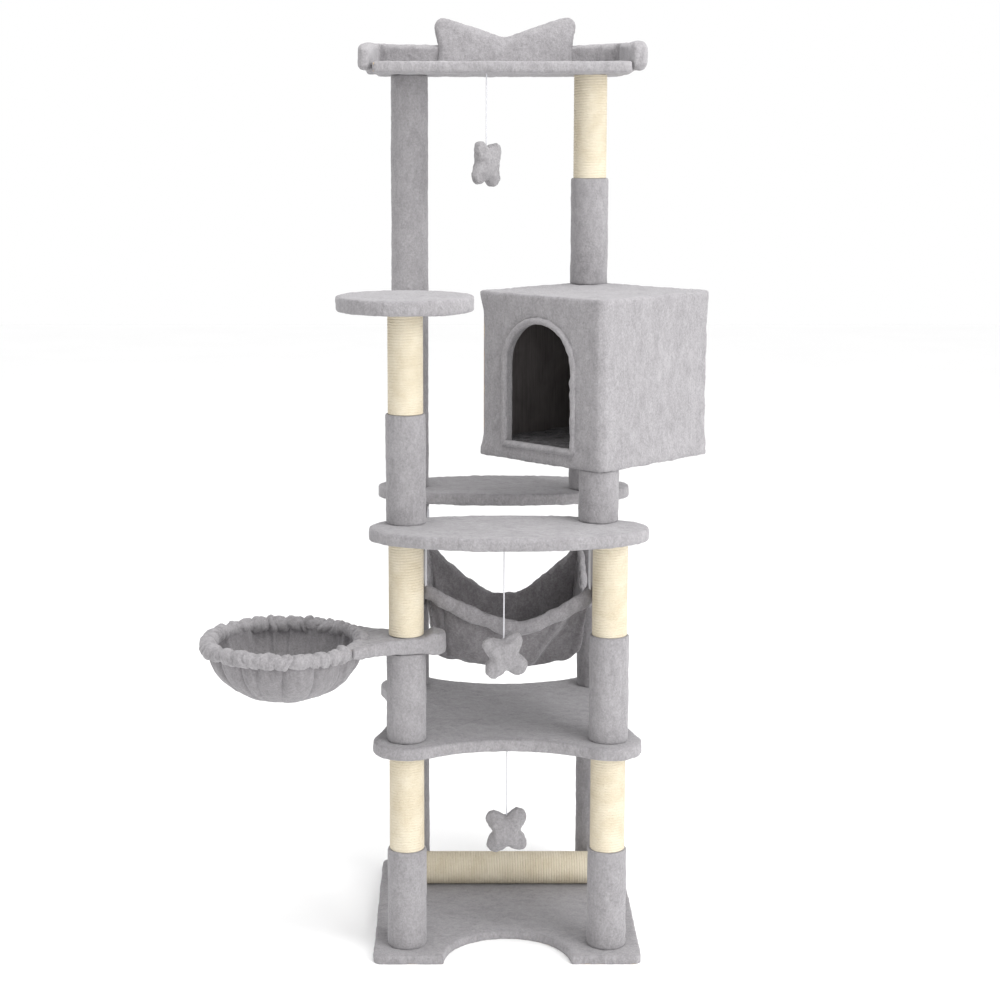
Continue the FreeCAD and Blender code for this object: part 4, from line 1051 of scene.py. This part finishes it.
def basket_rim():
    """The padded ring: a soft casing puckered all round by the cord that gathers it."""
    around, sides = 620, 26
    angle, turn = np.meshgrid(np.linspace(0, 2 * math.pi, around, endpoint=False),
                              np.linspace(0, 2 * math.pi, sides, endpoint=False), indexing="ij")
    slanted = angle + 0.045 * np.sin(turn + 6 * angle) + 0.02 * np.sin(2 * turn + 3 * angle)
    large = puffs(slanted, 35, 22, 2.5 * MM, 7.0 * MM)
    small = puffs(slanted, 83, 23, 0.3 * MM, 2.2 * MM)
    thick = RIM_HALF * 0.60 + large + small
    reach = RIM_MID + thick * np.cos(turn) + 1.2 * MM * np.sin(5 * angle + 2)
    height = rim_z + 0.95 * thick * np.sin(turn) + 1.4 * MM * np.sin(3 * angle + 1.0)
    points = np.stack([basket_x + reach * np.cos(angle), basket_y + reach * np.sin(angle),
                       height], axis=-1).reshape(-1, 3)
    obj = outward(add_mesh("basket_rim_plush", points, grid_faces(around, sides, True, True)))
    ruffle(obj, [(0.018, 0.0020), (0.009, 0.0013), (0.005, 0.0007)], 700)
    keep_outside(obj, 2.4 * MM, "basket_frame")
    finish_piece(obj, plush_grey, "plush", "basket_rim")


def basket_arm():
    """The padded neck from the ring, past the post, to its round end."""
    stations = np.linspace(-284 * MM, -113.5 * MM, 80)
    half = np.interp(stations, np.array([-284, -268, -252, -236, -216, -187, -160, -135]) * MM,
                     np.array([92, 80, 66, 54, 45, 38, 29, 27]) * MM)
    knob, knob_half = -135 * MM, 27 * MM
    past = np.clip((stations - knob) / (21.5 * MM), 0, 1)
    half = np.where(stations > knob, knob_half * np.sqrt(np.clip(1 - past ** 2, 0.01, 1)), half)
    for _ in range(2):
        half[1:-1] = (half[:-2] + 2 * half[1:-1] + half[2:]) / 4
    outline = [(x, basket_y - wide) for x, wide in zip(stations, half)]
    outline += [(x, basket_y + wide) for x, wide in zip(stations[::-1], half[::-1])]
    thick = 15.6 * MM
    obj = prism("basket_arm_plush", outline, rim_z - thick, rim_z + thick)
    remeshed(obj, 3.6 * MM, smoothing=9)
    points = coordinates(obj)
    # The stuffing is thin where the neck dips under the ring, and full at the round end.
    full = np.interp(points[:, 0], np.array([-284, -258, -215, -154, -138, -113]) * MM,
                     [0.60, 0.66, 0.94, 1.0, 1.55, 1.35])
    rise = points[:, 2] - rim_z
    points[:, 2] = rim_z + rise * np.where(rise > 0, full, 0.5 + 0.5 * full)
    # Folds run out from the ring over the neck and die away towards the post.
    near = np.clip((-196 * MM - points[:, 0]) / (80 * MM), 0, 1)
    around = np.arctan2(points[:, 1] - basket_y, points[:, 0] - basket_x)
    folds = puffs(around, 60, 31, 0.5 * MM, 3.2 * MM)
    set_coordinates(obj, points + normals(obj) * (near * (folds - 1.6 * MM))[:, None])
    ruffle(obj, PILE, 720)
    keep_outside(obj, 2.4 * MM, "basket_frame")
    finish_piece(obj, plush_grey, "plush", "basket_rim")


def basket_bowl():
    """The bag: broad uneven folds that are deep under the ring and die out at the bottom."""
    around, rows = 480, 52
    radius, depth = 141 * MM, rim_z - bowl_low.z - 2 * MM
    angle, down = np.meshgrid(np.linspace(0, 2 * math.pi, around, endpoint=False),
                              np.linspace(0, 1, rows), indexing="xy")
    polar = down * math.pi / 2
    twist = angle + 0.10 * down * np.sin(3 * angle + 0.5)
    level = np.clip(1 - 1.25 * down, 0, 1) ** 0.7
    crumple = 13 * MM * level - puffs(twist, 17, 41, 4 * MM, 15 * MM) * level
    crumple -= puffs(twist, 43, 42, 0.3 * MM, 3.6 * MM) * level ** 2
    reach = np.maximum((radius - crumple) * np.cos(polar) ** 0.86, 0.3 * MM)
    height = rim_z - depth * np.sin(polar) + crumple * 0.5 * np.sin(polar)
    points = np.stack([basket_x + reach * np.cos(angle), basket_y + reach * np.sin(angle),
                       height], axis=-1).reshape(-1, 3)
    obj = add_mesh("basket_bag_plush", points, grid_faces(rows, around, wrap_columns=True))
    work = bmesh.new()
    work.from_mesh(obj.data)
    bmesh.ops.remove_doubles(work, verts=work.verts, dist=0.0006)
    bmesh.ops.recalc_face_normals(work, faces=work.faces)
    work.to_mesh(obj.data)
    work.free()
    ruffle(obj, [(0.045, 0.0022), (0.016, 0.0010), (0.006, 0.0004)], 740)
    thickened(obj, 2.4 * MM)
    # The bag's darker plush is painted shade.
    finish_piece(obj, plush_cloth_painted_shade, "plush", "basket_bowl")


basket_rim()
basket_arm()
basket_bowl()


# ---------------------------------------------------------------- hammock
def droop(t, flat):
    """Share of the sag at t from -1 to 1: nearly straight slopes that round off in the middle."""
    steep = np.clip((1 - np.abs(t)) / (1 - flat), 0, 1)
    return (1.005 - np.sqrt((1 - steep) ** 2 + 0.01)) / 0.905


def rim_height(s, t):
    """The rim's height at s across and t from front to rear, each from -1 to 1 on its edge."""
    across = [-1, -0.85, -0.57, -0.2, 0.05, 0.15, 0.3, 0.6, 0.85, 1]
    fall = [0, 10, 29, 56, 70, 72, 66, 43, 25, 6]
    fine = np.linspace(-1, 1, 401)
    curve = np.convolve(np.pad(np.interp(fine, across, fall), 20, "edge"), np.ones(41) / 41,
                        "valid")
    front = np.interp(s, fine, curve) * MM
    rear = 92 * MM * droop(s, 0.17)
    sides = 46 * MM * droop(t, 0.15)
    ends = np.where(t < 0, front, rear)
    return hammock_high.z - np.where(np.abs(t) >= np.abs(s), ends, sides)


CELLS = 84


def hammock_tray():
    """The cloth before it is draped: a curved belly, and walls that rise to the drooping rim."""
    grid = np.linspace(-1, 1, CELLS + 1)
    s, t = np.meshgrid(grid, grid)
    ring = np.maximum(np.maximum(np.abs(s), np.abs(t)), 1e-6)
    share = 0.60
    rise = np.clip((ring - share) / (1 - share), 0, 1)
    inner = np.minimum(ring / share, 1)
    edge_s, edge_t = s / ring, t / ring
    x = edge_s * (hammock_high.x - 3 * MM) * np.where(rise > 0, 0.945 + 0.055 * rise, 0.945 * inner)
    y = edge_t * (hammock_high.y - 3 * MM) * np.where(rise > 0, 0.69 + 0.31 * rise ** 0.9,
                                                      0.69 * inner)
    belly = hammock_low.z + 5 * MM + 26 * MM * (x / hammock_high.x) ** 2 + 12 * MM * (
        y / hammock_high.y) ** 2
    z = belly + (rim_height(edge_s, edge_t) - belly) * rise ** 1.12
    obj = add_mesh("hammock_plush", np.column_stack([x.ravel(), y.ravel(), z.ravel()]),
                   grid_faces(CELLS + 1, CELLS + 1))
    return obj, s.ravel(), t.ravel()


def hammock():
    """Plush hung by its four corners, with the folds that its own slack leaves."""
    obj, s, t = hammock_tray()
    corners = [index for index in range(len(s)) if abs(s[index]) > 0.97 and abs(t[index]) > 0.97]
    obj.vertex_groups.new(name="held").add(corners, 1.0, "REPLACE")
    cap = 9 * MM
    simulated(obj, 22, lambda distance: cap * np.tanh(distance / cap) / distance, quality=8,
              mass=0.35, tension_stiffness=25, compression_stiffness=6, shear_stiffness=5,
              bending_stiffness=0.6, air_damping=3, vertex_group_mass="held")
    grid = coordinates(obj).reshape(CELLS + 1, CELLS + 1, 3)
    edge = np.vstack([grid[0, :-1], grid[:-1, -1], grid[-1, :0:-1], grid[:0:-1, 0]])
    subdivided(obj)
    points = coordinates(obj)
    depth = np.zeros(len(points))
    for count, (side, end) in enumerate(((-1, -1), (1, -1), (1, 1), (-1, 1))):
        # Puckers run out from each corner, where the cloth hangs on its loop.
        hook = np.array([side * hammock_high.x, end * hammock_high.y, hammock_high.z])
        away = points - hook
        reach = np.linalg.norm(away, axis=1)
        fan = np.arctan2(np.hypot(away[:, 0], away[:, 1]), -away[:, 2]) + 0.5 * np.arctan2(
            np.abs(away[:, 1]), np.abs(away[:, 0]))
        depth += 2.6 * MM * np.sin(fan * 21 + 2.1 * count) * np.exp(-reach / 0.085) * np.clip(
            reach / 0.02, 0, 1)
    set_coordinates(obj, points + normals(obj) * depth[:, None])
    points = coordinates(obj)
    # A loose fold crosses the front from its right corner down to the belly.
    front = np.clip((-points[:, 1] - 84 * MM) / (20 * MM), 0, 1)
    line = (points[:, 0] - 62 * MM) - (points[:, 2] - 560 * MM) * 0.62
    step = 1 / (1 + np.exp(-np.clip(line / (2.0 * MM), -30, 30)))
    ridge = np.exp(-((line + 5 * MM) / (8 * MM)) ** 2)
    points[:, 1] += front * (17 * MM * step - 9 * MM * ridge)
    left = (points[:, 0] + 118 * MM) + (points[:, 2] - 640 * MM) * 0.06
    points[:, 1] += front * 5 * MM * np.exp(-(left / (4 * MM)) ** 2)
    set_coordinates(obj, points)
    ruffle(obj, [(0.060, 0.0036), (0.024, 0.0020), (0.010, 0.0007), (0.005, 0.0004)], 800)
    thickened(obj, 3.0 * MM)
    # The hammock's dark plush is painted shade.
    finish_piece(obj, plush_hammock_painted_shade, "plush", "hammock")
    return obj, edge


hammock_cloth, hammock_edge = hammock()


def hammock_band():
    """The hem, turned over outside the rim as a soft flat roll."""
    path = hammock_edge.copy()
    for _ in range(4):
        path = (np.roll(path, 1, 0) + 2 * path + np.roll(path, -1, 0)) / 4
    tangent = np.roll(path, -1, 0) - np.roll(path, 1, 0)
    out = np.column_stack([tangent[:, 1], -tangent[:, 0], np.zeros(len(path))])
    out /= np.linalg.norm(out, axis=1)[:, None]
    out *= np.sign((out * path * (1, 1, 0)).sum(axis=1))[:, None]
    path += out * 4.5 * MM - np.array((0, 0, 12.5 * MM))
    path = np.stack([path, (path + np.roll(path, -1, 0)) / 2], axis=1).reshape(-1, 3)
    radii = 6.0 * MM * (1 + 0.16 * lumps(path, 0.035, 81))
    obj = sweep("hammock_hem_plush", path, radii, sides=20, closed=True, flat=2.5,
                wobble=lambda index, angle: 0.06 * math.sin(angle * 3 + index * 0.31))
    ruffle(obj, [(0.024, 0.0022), (0.011, 0.0014), (0.0055, 0.0008)], 820)
    # The hem's darker plush is painted shade.
    return finish_piece(obj, plush_cloth_painted_shade, "plush")


hem = hammock_band()


def elastic_loop(name, x, y, foot, head):
    """A flat elastic loop from the hammock's corner up round its hook."""
    half = 5 * MM
    path = [(x, y - half, z) for z in np.linspace(foot, head - half, 14)]
    path += [(x, y - half * math.cos(turn), head - half + half * math.sin(turn))
             for turn in np.linspace(0, math.pi, 9)[1:-1]]
    path += [(x, y + half, z) for z in np.linspace(head - half, foot, 14)]
    obj = sweep(name, path, 2.2 * MM, sides=10, flat=0.55)
    return finish_piece(obj, braid, "cord", "hammock_loops")


hook_low, hook_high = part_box("hammock_hooks")
loop_low, loop_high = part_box("hammock_loops")
loop_x = loop_high.x - 2.5 * MM
loop_y = loop_high.y - 2.5 * MM
loops = [elastic_loop(f"elastic_loop_{side}_{end}", x, y, hammock_high.z - 16 * MM,
                      hook_low.z + 4 * MM)
         for side, x in (("left", -loop_x), ("right", loop_x))
         for end, y in (("front", -loop_y), ("rear", loop_y))]

# ---------------------------------------------------------------- floor, light and background
floor = add_mesh("floor", [(-9, -6, 0), (9, -6, 0), (9, 12, 0), (-9, 12, 0)], [(0, 1, 2, 3)])
floor_shader = Shader("pale_floor", Roughness=0.7, Specular_IOR_Level=0.1)
floor_shader.set("Base Color", floor_shader.ramp(floor_shader.noise(1.5, 2), [
    (0.3, (0.975, 0.975, 0.975)), (0.7, (0.99, 0.99, 0.99))]))
floor.data.materials.append(floor_shader.material)


def area_light(name, place, target, size, power):
    data = bpy.data.lights.new(name, "AREA")
    data.shape = "SQUARE"
    data.size = size
    data.energy = power
    obj = bpy.data.objects.new(name, data)
    scene.collection.objects.link(obj)
    obj.location = place
    obj.rotation_euler = (Vector(target) - Vector(place)).to_track_quat("-Z", "Y").to_euler()


area_light("key_right", (3.2, -3.0, 2.1), (0.1, 0, 1.0), 3.0, 150)
area_light("fill_left", (-3.0, -3.2, 1.4), (0, 0, 0.8), 2.4, 8)
area_light("top_soft", (0.4, -0.8, 4.0), (0, 0, 0.9), 2.2, 80)

world = bpy.data.worlds.new("studio")
scene.world = world
world.use_nodes = True
background = world.node_tree.nodes["Background"]
background.inputs["Color"].default_value = (1.0, 1.0, 1.0, 1)
background.inputs["Strength"].default_value = 1.0
scene.view_settings.view_transform = "Standard"
